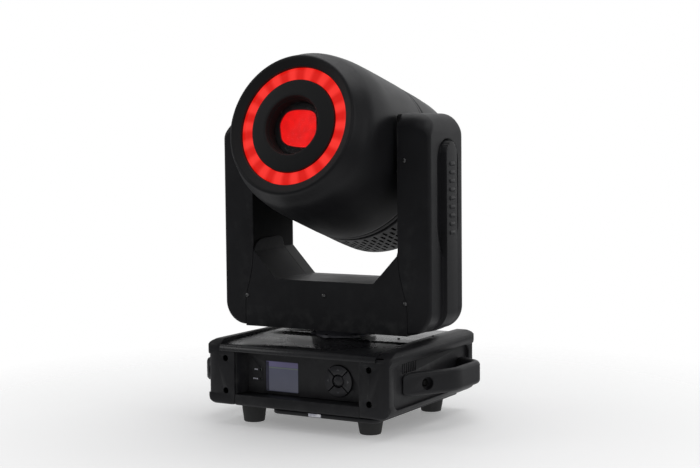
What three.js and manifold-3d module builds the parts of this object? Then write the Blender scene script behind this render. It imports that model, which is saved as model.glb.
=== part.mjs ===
// A moving head light: a base that stands on four feet, a yoke that pans on it, and a head that
// tilts between the yoke's arms. Millimetres, +Z up, the front faces -Y, and the origin is on the
// pan axis at the level of the feet.
import * as THREE from "three";
import { mergeVertices } from "three/addons/utils/BufferGeometryUtils.js";
import Module from "manifold-3d";

const wasm = await Module();
wasm.setup();

// ---- Driving dimensions ----

const GAP = 0.3; // clearance between pieces that touch
const WALL = 3; // wall of a moulded cover

const base = {
  halfDepth: 102.3,
  innerHalfWidth: 78.3, // of the tray and the two panels, between the end covers
  topHalfWidth: 97.7, // of the top cover, which lies on the end covers up to their ridges
  outerHalfWidth: 115,
  bottom: 22,
  bellyBottom: 17,
  panelBottom: 34, // the recesses for the front and rear panels lie between these heights
  panelTop: 81,
  top: 91.5,
  ridge: 93.6, // highest point of the end covers
  panelFront: -82.3, // face of the recessed control panel
  panelBack: 95, // face of the recessed connector panel
};
const foot = { x: 73.9, y: 70.9, topRadius: 14, bottomRadius: 11.6 };
const handle = {
  outer: [[89.3, -101.8], [146, -6], [146, 56], [89.3, 90]], // the bow seen from above
  outerRadii: [45, 22],
  inner: [[79.3, -97.1], [135, -3], [135, 49.8], [79.3, 83.2]],
  innerRadii: [34, 12],
  low: 40,
  high: 65.2,
  leftShift: -9, // how far forwards the left one stands of a plain half turn
  recesses: [[126.3, -39.5, -30.6], [127.5, 66.2, 59]], // x, y and angle from +X of the two screw recesses
};
const pad = { x: 42.3, z: 55.2, radius: 16.8, enterRadius: 6.4, travel: 0.8 };
const display = { left: -50.8, right: -8.8, low: 37.2, high: 70.4 };
const leds = { x: -57, upper: 60, lower: 49.6 };
const pan = { hubRadius: 29, hubTop: 101, shaftRadius: 24.5, boreRadius: 16, pulleyRadius: 40 };
const panMotor = { x: -56, pulleyRadius: 9, size: 42 };
const yoke = {
  halfDepth: 41.9,
  halfWidth: 131.3,
  strip: { out: 136.8, halfDepth: 12.8, low: 130, high: 309 }, // the raised strip down an arm's side
  inside: 92, // half the width between the arms
  bottom: 102.5,
  crossBottom: 101.3,
  crossTop: 155.6,
  top: 338,
  chamferX: 62.3,
  chamferTop: 187.3,
  lowerCorner: 26,
  upperCorner: 22,
  edge: 4,
};
const tilt = { z: 297.5, beamAngle: 15.7, trunnionRadius: 17.9, pulleyRadius: 34 };
const tiltMotor = { z: 196, pulleyRadius: 8, size: 42 };
const head = {
  radius: 94,
  backRadius: 95.2,
  flat: 87.5, // half the width across the flats beside the arms
  crest: 110, // the rim of the face, along the beam from the tilt axis
  seam: -24, // where the two shells meet
  back: -112,
  backEdge: 16,
};
const ring = { outer: 64, inner: 50.8, face: 103 };
const lens = { hoodFace: 108, hoodRadius: 32.5, radius: 28.4, face: 98 };
const chassisFloor = yoke.bottom + WALL + GAP; // underside of the yoke's steel frame
const armPlate = 100.6; // outer face of the frame's arms
const wheel = { radius: 43, offset: 34, windowRadius: 8.5, thick: 2 };

// ---- Shapes ----

// A closed three.js geometry as a manifold-3d solid.
function solid(geometry) {
  const bare = new THREE.BufferGeometry();
  bare.setAttribute("position", geometry.getAttribute("position"));
  if (geometry.index) bare.setIndex(geometry.index);
  const merged = mergeVertices(bare, 1e-3);
  return new wasm.Manifold(
    new wasm.Mesh({
      numProp: 3,
      vertProperties: merged.attributes.position.array,
      triVerts: Uint32Array.from(merged.index.array),
    }),
  );
}

function geometryOf(made) {
  const { vertProperties, triVerts } = made.getMesh();
  const geometry = new THREE.BufferGeometry();
  geometry.setAttribute("position", new THREE.BufferAttribute(vertProperties, 3));
  geometry.setIndex(new THREE.BufferAttribute(triVerts, 1));
  geometry.computeVertexNormals();
  return geometry;
}

function block([x0, x1], [y0, y1], [z0, z1]) {
  const box = new THREE.BoxGeometry(x1 - x0, y1 - y0, z1 - z0);
  return solid(box.translate((x0 + x1) / 2, (y0 + y1) / 2, (z0 + z1) / 2));
}

// A profile of [radius, height] points turned about Z.
function turned(profile, segments = 24) {
  let area = 0;
  profile.forEach(([r, z], i) => {
    const [rn, zn] = profile[(i + 1) % profile.length];
    area += r * zn - rn * z;
  });
  const points = (area > 0 ? profile : [...profile].reverse()).map(([r, z]) => new THREE.Vector2(r, z));
  if (points[0].x > 0 || points[points.length - 1].x > 0) points.push(points[0].clone());
  return solid(new THREE.LatheGeometry(points, segments).rotateX(Math.PI / 2));
}

const rod = (radius, z0, z1, segments = 24) =>
  turned([[0, z0], [radius, z0], [radius, z1], [0, z1]], segments);

const tube = (outer, inner, z0, z1, segments = 24) =>
  turned([[inner, z0], [outer, z0], [outer, z1], [inner, z1]], segments);

// A cylinder along Y or X.
const rodY = (radius, x, z, y0, y1, segments = 20) =>
  rod(radius, y0, y1, segments).rotate([-90, 0, 0]).translate([x, 0, z]);
const rodX = (radius, y, z, x0, x1, segments = 24) =>
  rod(radius, x0, x1, segments).rotate([0, 90, 0]).translate([0, y, z]);

function shapeOf(points) {
  return new THREE.Shape(points.map(([x, y]) => new THREE.Vector2(x, y)));
}

// A rounded rectangle whose four corner radii are [bottom left, bottom right, top right, top left].
function rounded([x0, x1], [y0, y1], radii) {
  const [a, b, c, d] = Array.isArray(radii) ? radii : [radii, radii, radii, radii];
  const shape = new THREE.Shape();
  shape.moveTo(x0 + a, y0);
  shape.lineTo(x1 - b, y0);
  shape.absarc(x1 - b, y0 + b, b, -Math.PI / 2, 0);
  shape.lineTo(x1, y1 - c);
  shape.absarc(x1 - c, y1 - c, c, 0, Math.PI / 2);
  shape.lineTo(x0 + d, y1);
  shape.absarc(x0 + d, y1 - d, d, Math.PI / 2, Math.PI);
  shape.lineTo(x0, y0 + a);
  shape.absarc(x0 + a, y0 + a, a, Math.PI, Math.PI * 1.5);
  return shape;
}

// A shape pushed along Z, with its edges rounded by edge.
function prismZ(shape, z0, z1, { edge = 0, curve = 2 } = {}) {
  const geometry = new THREE.ExtrudeGeometry(shape, {
    depth: z1 - z0 - 2 * edge,
    bevelEnabled: edge > 0,
    bevelThickness: edge,
    bevelSize: edge,
    bevelOffset: -edge,
    bevelSegments: 2,
    curveSegments: curve,
  });
  return solid(geometry.translate(0, 0, z0 + edge));
}

// The same along Y, where the shape's axes are X and Z, and along X, where they are Y and Z.
const prismY = (shape, y0, y1, options) =>
  prismZ(shape, -y1, -y0, options).rotate([90, 0, 0]);
const prismX = (shape, x0, x1, options) =>
  prismZ(shape, x0, x1, options).rotate([90, 0, 0]).rotate([0, 0, 90]);

const mirrored = (made) => made.mirror([1, 0, 0]);
const halfTurned = (made) => made.rotate([0, 0, 180]);
const union = (list) => list.reduce((sum, next) => sum.add(next));
const turns = (count) => Array.from({ length: count }, (_, i) => (i * 360) / count);

// ---- Materials ----

const finish = (color, roughness, metalness = 0) =>
  new THREE.MeshStandardMaterial({ color, roughness, metalness });
const materials = {
  shell: finish(0x1b1c1f, 0.5),
  gloss: finish(0x16171a, 0.18),
  panel: finish(0x1e1f22, 0.45),
  button: finish(0x2a2b2e, 0.4),
  rubber: finish(0x141414, 0.85),
  steel: finish(0x6f7378, 0.35, 1),
  aluminium: finish(0xb4b8bc, 0.4, 1),
  board: finish(0x14402a, 0.55),
  motor: finish(0x202124, 0.4, 0.6),
  belt: finish(0x0f0f10, 0.8),
  connector: finish(0x0e0f10, 0.4),
  screen: finish(0x8fa0c8, 0.15),
  glass: finish(0xdfe6ee, 0.05),
  diffuser: finish(0xff2a22, 0.35),
  led: finish(0xd9e6d9, 0.3),
};

const root = new THREE.Group();
const headGroup = new THREE.Group();
headGroup.position.z = tilt.z;
headGroup.rotation.x = THREE.MathUtils.degToRad(90 - tilt.beamAngle);
root.add(headGroup);

function place(name, made, material, parent = root) {
  const mesh = new THREE.Mesh(geometryOf(made), material);
  mesh.name = name;
  parent.add(mesh);
}

// ---- Base ----

function baseTray() {
  const { innerHalfWidth: w, halfDepth: d, bottom, bellyBottom, panelBottom } = base;
  const lip = 2.5;
  const front = base.panelFront + GAP;
  const back = base.panelBack - GAP;
  const section = shapeOf([
    [-d, bottom], [d, bottom], [d, panelBottom], [back, panelBottom], [back, panelBottom - lip],
    [d - WALL, panelBottom - lip], [d - WALL, bottom + WALL], [-d + WALL, bottom + WALL],
    [-d + WALL, panelBottom - lip], [front, panelBottom - lip], [front, panelBottom],
    [-d, panelBottom],
  ]);
  const belly = prismZ(rounded([-33, 97], [-d + 2, d - 4], 10), bellyBottom, bottom - GAP);
  const bridge = block([-28, w - 1], [-d + 8, d - 10], [bottom - 1, bottom + 1]);
  return union([prismX(section, -w, w), belly, bridge]);
}

function baseTopCover() {
  const { innerHalfWidth: w, topHalfWidth, halfDepth: d, panelTop, top } = base;
  const lip = 2.5;
  const crown = (inset) => {
    const roll = new THREE.QuadraticBezierCurve(
      new THREE.Vector2(-d + inset, panelTop + 2 + inset),
      new THREE.Vector2(-d + inset, top - 2.5 - inset),
      new THREE.Vector2(-d + 16, top - 1.8 - inset),
    );
    const half = roll.getPoints(5).map((p) => [p.x, p.y]);
    const other = half.map(([y, z]) => [-y, z]).reverse();
    return [...half, [-50, top - 0.6 - inset], [0, top - inset], [50, top - 0.6 - inset], ...other];
  };
  const section = shapeOf([
    [-d, panelTop], ...crown(0), [d, panelTop], [d - WALL, panelTop], ...crown(WALL).reverse(),
    [-d + WALL, panelTop],
  ]);
  const lips = [[-d + 1, base.panelFront + GAP], [base.panelBack - GAP, d - 1]].map((depth) =>
    block([-w, w], depth, [panelTop, panelTop + lip]),
  );
  return union([prismX(section, -topHalfWidth, topHalfWidth), ...lips])
    .subtract(rod(pan.shaftRadius + 1, 80, 100));
}

function rightEndCover() {
  const { innerHalfWidth, outerHalfWidth: out, halfDepth: d, bottom, panelTop, ridge } = base;
  const inside = innerHalfWidth + GAP;
  const channel = out - 2.5;
  const front = shapeOf([
    [inside, bottom + 1], [inside + 6, bottom], [out - 9, bottom], [out - 2, 25], [out, 29],
    [out - 0.6, 33], [channel, 36], [channel, 76], [out - 0.6, 79], [out, 83], [out - 2, ridge - 4],
    [out - 8, ridge], [out - 18, ridge], [inside, ridge - 3],
  ]);
  const side = shapeOf([
    [-d, bottom], [d, bottom], [d, 80], [d - 1, 85], [d - 3.8, 89.2], [d - 8, 92], [d - 13, 93],
    [20, ridge], [-30, ridge - 0.7], [-d + 16, ridge - 4], [-d + 4, 88], [-d, 84],
  ]);
  const plan = (backRadius) => rounded([0, out], [-d, d], [0.5, 9, backRadius, 0.5]);
  const outer = prismY(front, -d, d)
    .intersect(prismX(side, 0, out + 1))
    .intersect(union([prismZ(plan(5), 0, 34), prismZ(plan(9), 34, 77), prismZ(plan(5), 77, 120)]));
  const cavity = block([inside + WALL, out - 9], [-d + WALL, d - WALL], [bottom + WALL, ridge - 8]);
  const window = block([inside - 1, inside + WALL + 1], [-74, 86], [bottom + 8, panelTop - 5]);
  const ledge = block([inside - 1, base.topHalfWidth + GAP], [-d - 1, d + 1], [panelTop - GAP, ridge + 1]);
  const pocket = prismX(rounded([-90, 90], [30, 77], 8), out - 6, out + 1);
  const holes = [37.5, 73.1].flatMap((z) =>
    [-d, d].map((y) => rodY(3.3, 90, z, y - WALL - 1, y + WALL + 1, 12)),
  );
  const vents = [-62, -56, -50, -44, -38].map((y) =>
    block([out - 10, out - 5], [y, y + 2.4], [67, 75]),
  );
  return outer.subtract(union([cavity, window, ledge, pocket, ...holes, ...vents]));
}

// An open outline whose middle corners are rounded.
function bow(corners, radii) {
  const points = corners.map(([x, y]) => new THREE.Vector2(x, y));
  const shape = new THREE.Shape();
  shape.moveTo(points[0].x, points[0].y);
  radii.forEach((radius, i) => {
    const [before, corner, after] = points.slice(i, i + 3);
    const into = corner.clone().sub(before).normalize();
    const away = after.clone().sub(corner).normalize();
    const reach = radius * Math.tan(into.angleTo(away) / 2);
    const start = corner.clone().addScaledVector(into, -reach);
    const end = corner.clone().addScaledVector(away, reach);
    shape.lineTo(start.x, start.y);
    shape.quadraticCurveTo(corner.x, corner.y, end.x, end.y);
  });
  shape.lineTo(points[3].x, points[3].y);
  return shape;
}

// A bowed grab handle, its two legs standing in the end cover's pocket. The left one is the same
// moulding turned half round, so its steep leg is at the front.
function rightHandle() {
  const { low, high } = handle;
  const leg = base.outerHalfWidth - 6 + GAP;
  const bar = prismZ(bow(handle.outer, handle.outerRadii), low, high, { edge: 5, curve: 5 });
  const gap = prismZ(bow(handle.inner, handle.innerRadii), low - 1, high + 1, { curve: 5 });
  const kept = block([leg, 150], [-110, 110], [low - 1, high + 1]);
  const recesses = handle.recesses.map(([x, y, angle]) =>
    rodX(6.4, 0, 0, -6.5, 6, 16).rotate([0, 0, angle]).translate([x, y, (low + high) / 2]),
  );
  return bar.intersect(kept).subtract(gap).subtract(union(recesses));
}

function controlPanel() {
  const { innerHalfWidth: w, panelFront: y, panelBottom, panelTop } = base;
  const plate = block([-w, w], [y, y + WALL], [panelBottom + GAP, panelTop - GAP]);
  const window = block([display.left, display.right], [y - 1, y + 4], [display.low, display.high]);
  const padHole = rodY(pad.radius + 0.5, pad.x, pad.z, y - 1, y + 4, 36);
  const lamps = [leds.upper, leds.lower].map((z) => rodY(1.6, leds.x, z, y - 1, y + 4, 12));
  return plate.subtract(union([window, padHole, ...lamps]));
}

function displayModule() {
  const { left, right, low, high } = display;
  const y = base.panelFront;
  const glass = block([left + GAP, right - GAP], [y + 0.4, y + 4], [low + GAP, high - GAP]);
  const back = block([left - 2, right + 2], [y + WALL + GAP, y + 6], [low - 2, high + 2]);
  return glass.add(back);
}

const statusLed = (z) => rodY(1.3, leds.x, z, base.panelFront - 0.3, base.panelFront + 6, 12);

// One quarter of the ring round the enter button: a sector between two diagonals.
function arrowButton(angle) {
  const y = base.panelFront;
  const halfGap = 0.45;
  const inner = pad.enterRadius + 0.6;
  const sector = new THREE.Shape();
  const edge = (r) => Math.PI / 4 - halfGap / r;
  sector.absarc(0, 0, pad.radius, -edge(pad.radius), edge(pad.radius));
  sector.absarc(0, 0, inner, edge(inner), -edge(inner), true);
  return prismZ(sector, -2, 5, { edge: 0.7 })
    .rotate([0, 0, angle])
    .rotate([90, 0, 0])
    .translate([pad.x, y + 3, pad.z]);
}

const enterButton = () =>
  turned([[0, 0], [pad.enterRadius, 0], [pad.enterRadius, 7.6], [5.2, 8.6], [0, 9]], 24)
    .rotate([90, 0, 0])
    .translate([pad.x, base.panelFront + 6, pad.z]);

function controlBoard() {
  const y = base.panelFront + 7.5;
  const board = block([-66, 66], [y, y + 1.6], [36, 78]);
  const chips = [[-30, 52, 14], [8, 60, 10], [30, 46, 8]].map(([x, z, size]) =>
    block([x, x + size], [y + 1, y + 3.4], [z, z + size]),
  );
  return union([board, ...chips]);
}

function powerSupply() {
  const box = block([-2, 66], [8, 66], [26, 52]);
  const slots = [14, 22, 30, 38, 46, 54].map((y) => block([6, 58], [y, y + 3], [50.5, 53]));
  return box.subtract(union(slots));
}

const connectors = { inlet: -58, outlet: -25, dataIn: 19, dataOut: 52, z: 57.5, radius: 12 };

function rearPanel() {
  const { innerHalfWidth: w, panelBack: y, panelBottom, panelTop } = base;
  const plate = block([-w, w], [y - 2, y], [panelBottom + GAP, panelTop - GAP]);
  const { inlet, outlet, dataIn, dataOut, z, radius } = connectors;
  const holes = [inlet, outlet, dataIn, dataOut].map((x) => rodY(radius + GAP, x, z, y - 3, y + 1));
  return plate.subtract(union([...holes, rodY(5.3, -3, z + 10, y - 3, y + 1, 16)]));
}

// A round panel socket with a square flange outside the rear panel.
function powerSocket(x) {
  const { z, radius } = connectors;
  const y = base.panelBack;
  const flange = prismY(rounded([x - 13.5, x + 13.5], [z - 15, z + 15], 3), y + GAP, y + 2.3);
  const body = rodY(radius, x, z, y - 22, y + 2);
  return union([flange, body]).subtract(rodY(radius - 2.5, x, z, y - 14, y + 4));
}

// A three-pole data socket: the inlet is a cup of this depth, the outlet a face with a shallow ring.
function dataSocket(x, depth) {
  const { z, radius } = connectors;
  const y = base.panelBack;
  const flange = prismY(rounded([x - 13, x + 13], [z - 15.5, z + 15.5], 3), y + GAP, y + 2.3);
  const body = rodY(radius, x, z, y - 20, y + 2);
  return union([flange, body]).subtract(rodY(radius - 2, x, z, y - depth, y + 4));
}

const fuseHolder = () =>
  rodY(5, -3, connectors.z + 10, base.panelBack - 24, base.panelBack + 1, 16).add(
    rodY(6.5, -3, connectors.z + 10, base.panelBack + GAP, base.panelBack + 5, 16),
  );

// A rubber foot; the right-hand ones stand under the belly of the tray.
function rubberFoot(height) {
  const { topRadius, bottomRadius } = foot;
  return turned([[0, 0], [bottomRadius - 1.2, 0], [bottomRadius, 1.2], [topRadius, height - 1],
    [topRadius, height], [0, height]], 24);
}

// ---- Pan drive ----

const panHub = () =>
  turned([
    [pan.boreRadius, 54], [pan.shaftRadius, 54], [pan.shaftRadius, 91.9], [31.5, 91.9],
    [31.5, 94.4], [pan.hubRadius, 95], [pan.hubRadius, pan.hubTop], [21.5, pan.hubTop],
    [21.5, chassisFloor - GAP], [pan.boreRadius, chassisFloor - GAP],
  ]);

const pulley = (radius, bore, z0, z1, segments = 24) =>
  turned([
    [bore, z0], [radius + 2, z0], [radius + 2, z0 + 1.2], [radius, z0 + 1.4],
    [radius, z1 - 1.4], [radius + 2, z1 - 1.2], [radius + 2, z1], [bore, z1],
  ], segments);

// A closed belt round two wheels whose centres lie apart along X, about Z.
function belt(radiusA, radiusB, apart, z0, z1) {
  const loop = (extra) => {
    const a = radiusA + GAP + extra;
    const b = radiusB + GAP + extra;
    const lean = Math.acos((a - b) / apart);
    const shape = new THREE.Shape();
    shape.absarc(0, 0, a, lean, Math.PI * 2 - lean);
    shape.absarc(apart, 0, b, -lean, lean);
    return shape;
  };
  const options = { curve: 9 };
  return prismZ(loop(1.4), z0, z1, options).subtract(prismZ(loop(0), z0 - 1, z1 + 1, options));
}

function panBearingHousing() {
  const collar = rod(36, 77, 87);
  const plate = prismZ(rounded([-76, 76], [-46, 46], 6), 77, 80);
  const hole = rod(pan.shaftRadius + GAP, 70, 90);
  const legs = [[-74, -40], [-74, 40], [74, -40], [74, 40]].map(([x, y]) =>
    rod(4, base.bottom + WALL + GAP, 78, 8).translate([x > 0 ? x - 2 : x + 2, y, 0]),
  );
  return union([collar, plate, ...legs]).subtract(hole);
}

// A square stepping motor that hangs from two posts on the side away from its belt.
function motor(size, length, posts, shaft) {
  const half = size / 2;
  const body = prismZ(rounded([-half, half], [-half, half], 5), 0, length);
  const corners = [-1, 1].map((way) =>
    rod(2.5, length - 1, length + posts, 10).translate([4 - half, way * (half - 4), 0]),
  );
  return union([body, rod(2.4, length - 1, length + shaft, 12), ...corners]);
}

// ---- Yoke ----

function yokeBlock(inset) {
  const { halfWidth: w, bottom, top, lowerCorner: low, upperCorner: up, halfDepth: d, edge } = yoke;
  const outline = rounded(
    [-w + inset, w - inset],
    [bottom + inset, top - inset],
    [low - inset, low - inset, up - inset, up - inset],
  );
  return prismY(outline, -d + inset, d - inset, { edge: edge - inset, curve: inset ? 2 : 4 });
}

function rightArmCover() {
  const { inside, halfWidth, halfDepth: d, chamferTop, bottom, top } = yoke;
  const seam = shapeOf([
    [inside + GAP, chamferTop], [97.3, 150], [103.3, 128], [103.3, bottom - 1],
    [halfWidth + 1, bottom - 1], [halfWidth + 1, top + 1], [inside + GAP, top + 1],
  ]);
  const shell = yokeBlock(0).subtract(yokeBlock(WALL));
  const { out, halfDepth: half, low, high } = yoke.strip;
  const strip = prismX(rounded([-half, half], [low, high], [3, 3, half - 0.1, half - 0.1]),
    halfWidth - 1, out, { edge: 1.6, curve: 5 });
  const groove = prismX(rounded([-2 * half, 2 * half], [176, high + half], 2 * half - 0.1),
    halfWidth - 1.2, out, { curve: 6 });
  return shell.intersect(prismY(seam, -d - 1, d + 1)).subtract(groove).add(strip);
}

function rightInnerPanel() {
  const { inside, halfDepth, chamferTop, top } = yoke;
  const half = halfDepth - WALL - GAP;
  const high = top - WALL - GAP;
  const plate = prismX(rounded([-half, half], [chamferTop + GAP, high], [4, 4, 9, 9]),
    inside + GAP, inside + WALL);
  return plate.subtract(rodX(tilt.trunnionRadius + 1.5, 0, tilt.z, 80, 110));
}

function crosspieceFrontCover() {
  const { inside, crossBottom: z, crossTop, chamferX, chamferTop, halfDepth: d } = yoke;
  const right = [[103, z], [103, 128], [97, 150], [inside, chamferTop], [chamferX, crossTop]];
  const left = right.map(([x, h]) => [-x, h]).reverse();
  const hollow = [[-130, z + WALL], [130, z + WALL], [130, 220], [inside + 30, 220],
    [chamferX - 1.2, crossTop - WALL], [-chamferX + 1.2, crossTop - WALL], [-inside - 30, 220],
    [-130, 220]];
  return prismY(shapeOf([...right, ...left]), -d, -0.15)
    .subtract(prismY(shapeOf(hollow), -d + WALL, 1))
    .subtract(rod(22, 90, 110));
}

function yokeChassis() {
  const floor = chassisFloor;
  const plate = prismZ(rounded([-104, 104], [-30, 30], 4), floor, floor + WALL);
  const arm = prismX(rounded([-28, 28], [floor, 326], [2, 2, 14, 14]), 97.6, armPlate).subtract(
    rodX(tilt.trunnionRadius + GAP, 0, tilt.z, 90, 110),
  );
  return union([plate, arm, mirrored(arm)]).subtract(rod(pan.boreRadius, 90, 120));
}

function driverBoard() {
  const board = block([-110, -108.4], [-26, 26], [165, 270]);
  const chips = [180, 205, 230].map((z) => block([-114, -109], [-12, 8], [z, z + 14]));
  const posts = [[-20, 170], [20, 170], [-20, 264], [20, 264]].map(([y, z]) =>
    rodX(2, y, z, -109, -100.9, 10),
  );
  return union([board, ...chips, ...posts]);
}

// ---- Head, along Z from the tilt axis, with Y as its upward side ----

// Half the outline of the barrel: [radius, distance along the beam], front to seam.
const barrel = [
  [72, 109.6], [74, head.crest], [76.6, 108.4], [78.6, 105], [81.5, 98], [84.7, 90], [87.3, 78],
  [90.2, 60], [91.4, 40], [92.6, 15], [head.radius, head.seam + GAP / 2],
];

function betweenFlats(made, half) {
  return made.intersect(block([-half, half], [-200, 200], [-200, 200]));
}

function frontShell() {
  const end = head.seam + GAP / 2;
  const bore = ring.outer + 0.4;
  const inner = barrel
    .slice(5, -1)
    .filter((_, i) => i % 2 === 0)
    .map(([r, z]) => [r - WALL, z - 1]);
  const outer = turned([[0, ring.face + 1], [bore, ring.face + 1], ...barrel, [0, end]], 40);
  const hollow = turned([[0, 96], [74, 96], ...inner, [90, end - 1], [0, end - 1]], 40);
  return betweenFlats(outer, head.flat)
    .subtract(betweenFlats(hollow, head.flat - WALL))
    .subtract(rodX(tilt.trunnionRadius + 0.6, 0, 0, -120, 120))
    .subtract(rod(bore, 90, 120, 40));
}

function rearShell() {
  const { radius, backRadius, seam, back, backEdge: e, flat } = head;
  const start = seam - GAP / 2;
  const arc = (r, steps) =>
    Array.from({ length: steps + 1 }, (_, i) => {
      const t = (i * Math.PI) / 2 / steps;
      return [backRadius - e + r * Math.cos(t), back + e - r * Math.sin(t)];
    });
  const outer = turned([[0, start], [radius, start], ...arc(e, 4), [0, back]], 40);
  const hollow = turned([[0, start + 1], [radius - WALL, start + 1], ...arc(e - WALL, 2),
    [0, back + WALL]], 40);
  const slots = [];
  for (const side of [90, -90]) {
    for (let i = -2; i <= 2; i++) {
      slots.push(block([70, 110], [-1.6, 1.6], [-94, -58]).rotate([0, 0, side + i * 8]));
    }
  }
  return betweenFlats(outer, flat)
    .subtract(betweenFlats(hollow, flat - WALL))
    .subtract(rod(46, back - 1, back + 5))
    .subtract(union(slots));
}

function rearGrille() {
  const plate = rod(45.4, head.back + 0.6, head.back + 2.6);
  const slots = turns(8).map((a) =>
    block([12, 40], [-2.5, 2.5], [head.back, head.back + 4]).rotate([0, 0, a]),
  );
  return plate.subtract(union(slots));
}

function lensHood() {
  const { hoodFace: face, hoodRadius: r, radius: bore } = lens;
  return turned([
    [bore + 2, face - 22], [bore + 4.5, face - 22], [r + 3.4, face - 3], [ring.inner - 3, face - 6],
    [ring.inner - 3, 96], [ring.inner - GAP, 96], [ring.inner - GAP, face - 3], [r + 12, face],
    [r, face], [bore + 2, face - 9],
  ], 28);
}

const ledRingLens = () => tube(ring.outer, ring.inner, ring.face - 4, ring.face, 40);

function ledRingBoard() {
  const board = tube(ring.outer + 2, ring.inner - 6, 90, 91.6);
  const pads = turns(24).map((a) =>
    block([54.5, 60.5], [-3, 3], [91, 93.4]).rotate([0, 0, a + 7.5]),
  );
  return union([board, ...pads]);
}

const biconvex = (radius, z, rim, bulge, segments = 24) =>
  turned([
    [0, z - rim - bulge], [radius * 0.55, z - rim - bulge * 0.7], [radius, z - rim],
    [radius, z + rim], [radius * 0.55, z + rim + bulge * 0.7], [0, z + rim + bulge],
  ], segments);

// The focusing lens in its sliding holder, which rides on the chassis's two rails.
function focusLens() {
  const holder = tube(34, 22.4, 42, 50);
  const ears = block([-46, 46], [-5, 5], [43, 49]).subtract(rod(30, 40, 52));
  const bores = [-41, 41].map((x) => rod(2.5, 40, 52, 10).translate([x, 0, 0]));
  return union([holder, ears, biconvex(22.6, 46, 2, 2.4)]).subtract(union(bores));
}

// A wheel of filters: a thin disc with windows round its rim and a hub at its middle.
function filterWheel(windows) {
  const disc = rod(wheel.radius, -wheel.thick / 2, wheel.thick / 2);
  const holes = turns(windows).map((a) =>
    rod(wheel.windowRadius, -5, 5, 10).translate([wheel.offset, 0, 0]).rotate([0, 0, a]),
  );
  return disc.subtract(union(holes)).add(rod(7, -3, 3, 12)).subtract(rod(2.3, -5, 5, 8));
}

const lampModule = () =>
  union([
    block([-27, 27], [-27, 27], [-60, -55]),
    tube(20, 14, -56, -44, 32),
    rod(17, -57, -53, 32),
  ]);

function heatSink() {
  const plate = block([-50, 50], [-40, 40], [-64, -60.3]);
  const fins = Array.from({ length: 13 }, (_, i) => -48 + i * 8).map((x) =>
    block([x - 0.9, x + 0.9], [-38, 38], [-86, -63]),
  );
  return union([plate, ...fins, rod(9, -92.6, -62, 20)]);
}

function fanRotor() {
  const blades = turns(7).map((a) =>
    block([10, 39], [-1, 1], [-5, 5]).rotate([32, 0, 0]).rotate([0, 0, a]),
  );
  return union([rod(13, -6, 6, 24), ...blades]).translate([0, 0, -99]);
}

function headChassis() {
  const ringPlate = prismZ(rounded([-82, 82], [-34, 34], 6), 24, 27).subtract(rod(30, 20, 40, 36));
  const cheek = prismX(rounded([-34, 34], [-58, 26], 6), 79, 82);
  const rearPlate = prismZ(rounded([-82, 82], [-34, 34], 6), -43, -40).subtract(
    rod(24, -50, -30, 32),
  );
  const rails = [-41, 41].map((x) => rod(2, 26, 66, 10).translate([x, 0, 0]));
  const spindles = [[-1, -24], [1, -12]].map(([side, z]) =>
    rod(1.9, -41, z + 4.5, 10).translate([side * wheel.offset, 0, 0]),
  );
  return union([ringPlate, rearPlate, cheek, mirrored(cheek), ...rails, ...spindles]);
}

// A hollow stub axle with a flange inside the head's wall; the right one carries the tilt pulley.
function trunnion(withPulley) {
  const { trunnionRadius: r, pulleyRadius } = tilt;
  const stub = tube(r, 12, head.flat - 5.2, 116);
  const flange = tube(26, 12, head.flat - 5.2, head.flat - WALL - GAP);
  const parts = [stub, flange];
  if (withPulley) parts.push(pulley(pulleyRadius, r - 1, 102.5, 111.5));
  return union(parts).rotate([0, 90, 0]);
}

// ---- Assembly ----

const m = materials;
place("base_tray", baseTray(), m.shell);
place("base_top_cover", baseTopCover(), m.gloss);
place("right_end_cover", rightEndCover(), m.shell);
place("left_end_cover", halfTurned(rightEndCover()), m.shell);
place("right_handle", rightHandle(), m.shell);
place("left_handle", halfTurned(rightHandle()).translate([0, handle.leftShift, 0]), m.shell);
place("control_panel", controlPanel(), m.panel);
place("display_module", displayModule(), m.screen);
place("upper_status_led", statusLed(leds.upper), m.led);
place("lower_status_led", statusLed(leds.lower), m.led);
["right", "up", "left", "down"].forEach((side, i) =>
  place(side + "_button", arrowButton(i * 90), m.button),
);
place("enter_button", enterButton(), m.button);
place("control_board", controlBoard(), m.board);
place("power_supply", powerSupply(), m.aluminium);
place("rear_panel", rearPanel(), m.panel);
place("power_inlet", powerSocket(connectors.inlet), m.connector);
place("power_outlet", powerSocket(connectors.outlet), m.connector);
place("data_inlet", dataSocket(connectors.dataIn, 12), m.connector);
place("data_outlet", dataSocket(connectors.dataOut, 2), m.connector);
place("fuse_holder", fuseHolder(), m.connector);
for (const [side, x] of [["left", -foot.x], ["right", foot.x]]) {
  const under = x < 0 ? base.bottom : base.bellyBottom;
  for (const [end, y] of [["front", -foot.y], ["rear", foot.y]]) {
    place(`${end}_${side}_foot`, rubberFoot(under - GAP).translate([x, y, 0]), m.rubber);
  }
}

const panMotorTop = 60;
place("pan_bearing_housing", panBearingHousing(), m.steel);
place("pan_motor", motor(panMotor.size, panMotorTop - 26, 16.7, 9)
  .translate([panMotor.x, 0, 26]), m.motor);
place("pan_motor_pulley", pulley(panMotor.pulleyRadius, 2.7, 60.5, 72.5, 20)
  .translate([panMotor.x, 0, 0]), m.aluminium);
place("pan_pulley", pulley(pan.pulleyRadius, pan.shaftRadius + GAP, 60.5, 72.5), m.aluminium);
place("pan_belt", belt(pan.pulleyRadius, panMotor.pulleyRadius, -panMotor.x, 62.5, 70.5)
  .rotate([0, 0, 180]), m.belt);
place("pan_hub", panHub(), m.shell);

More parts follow.
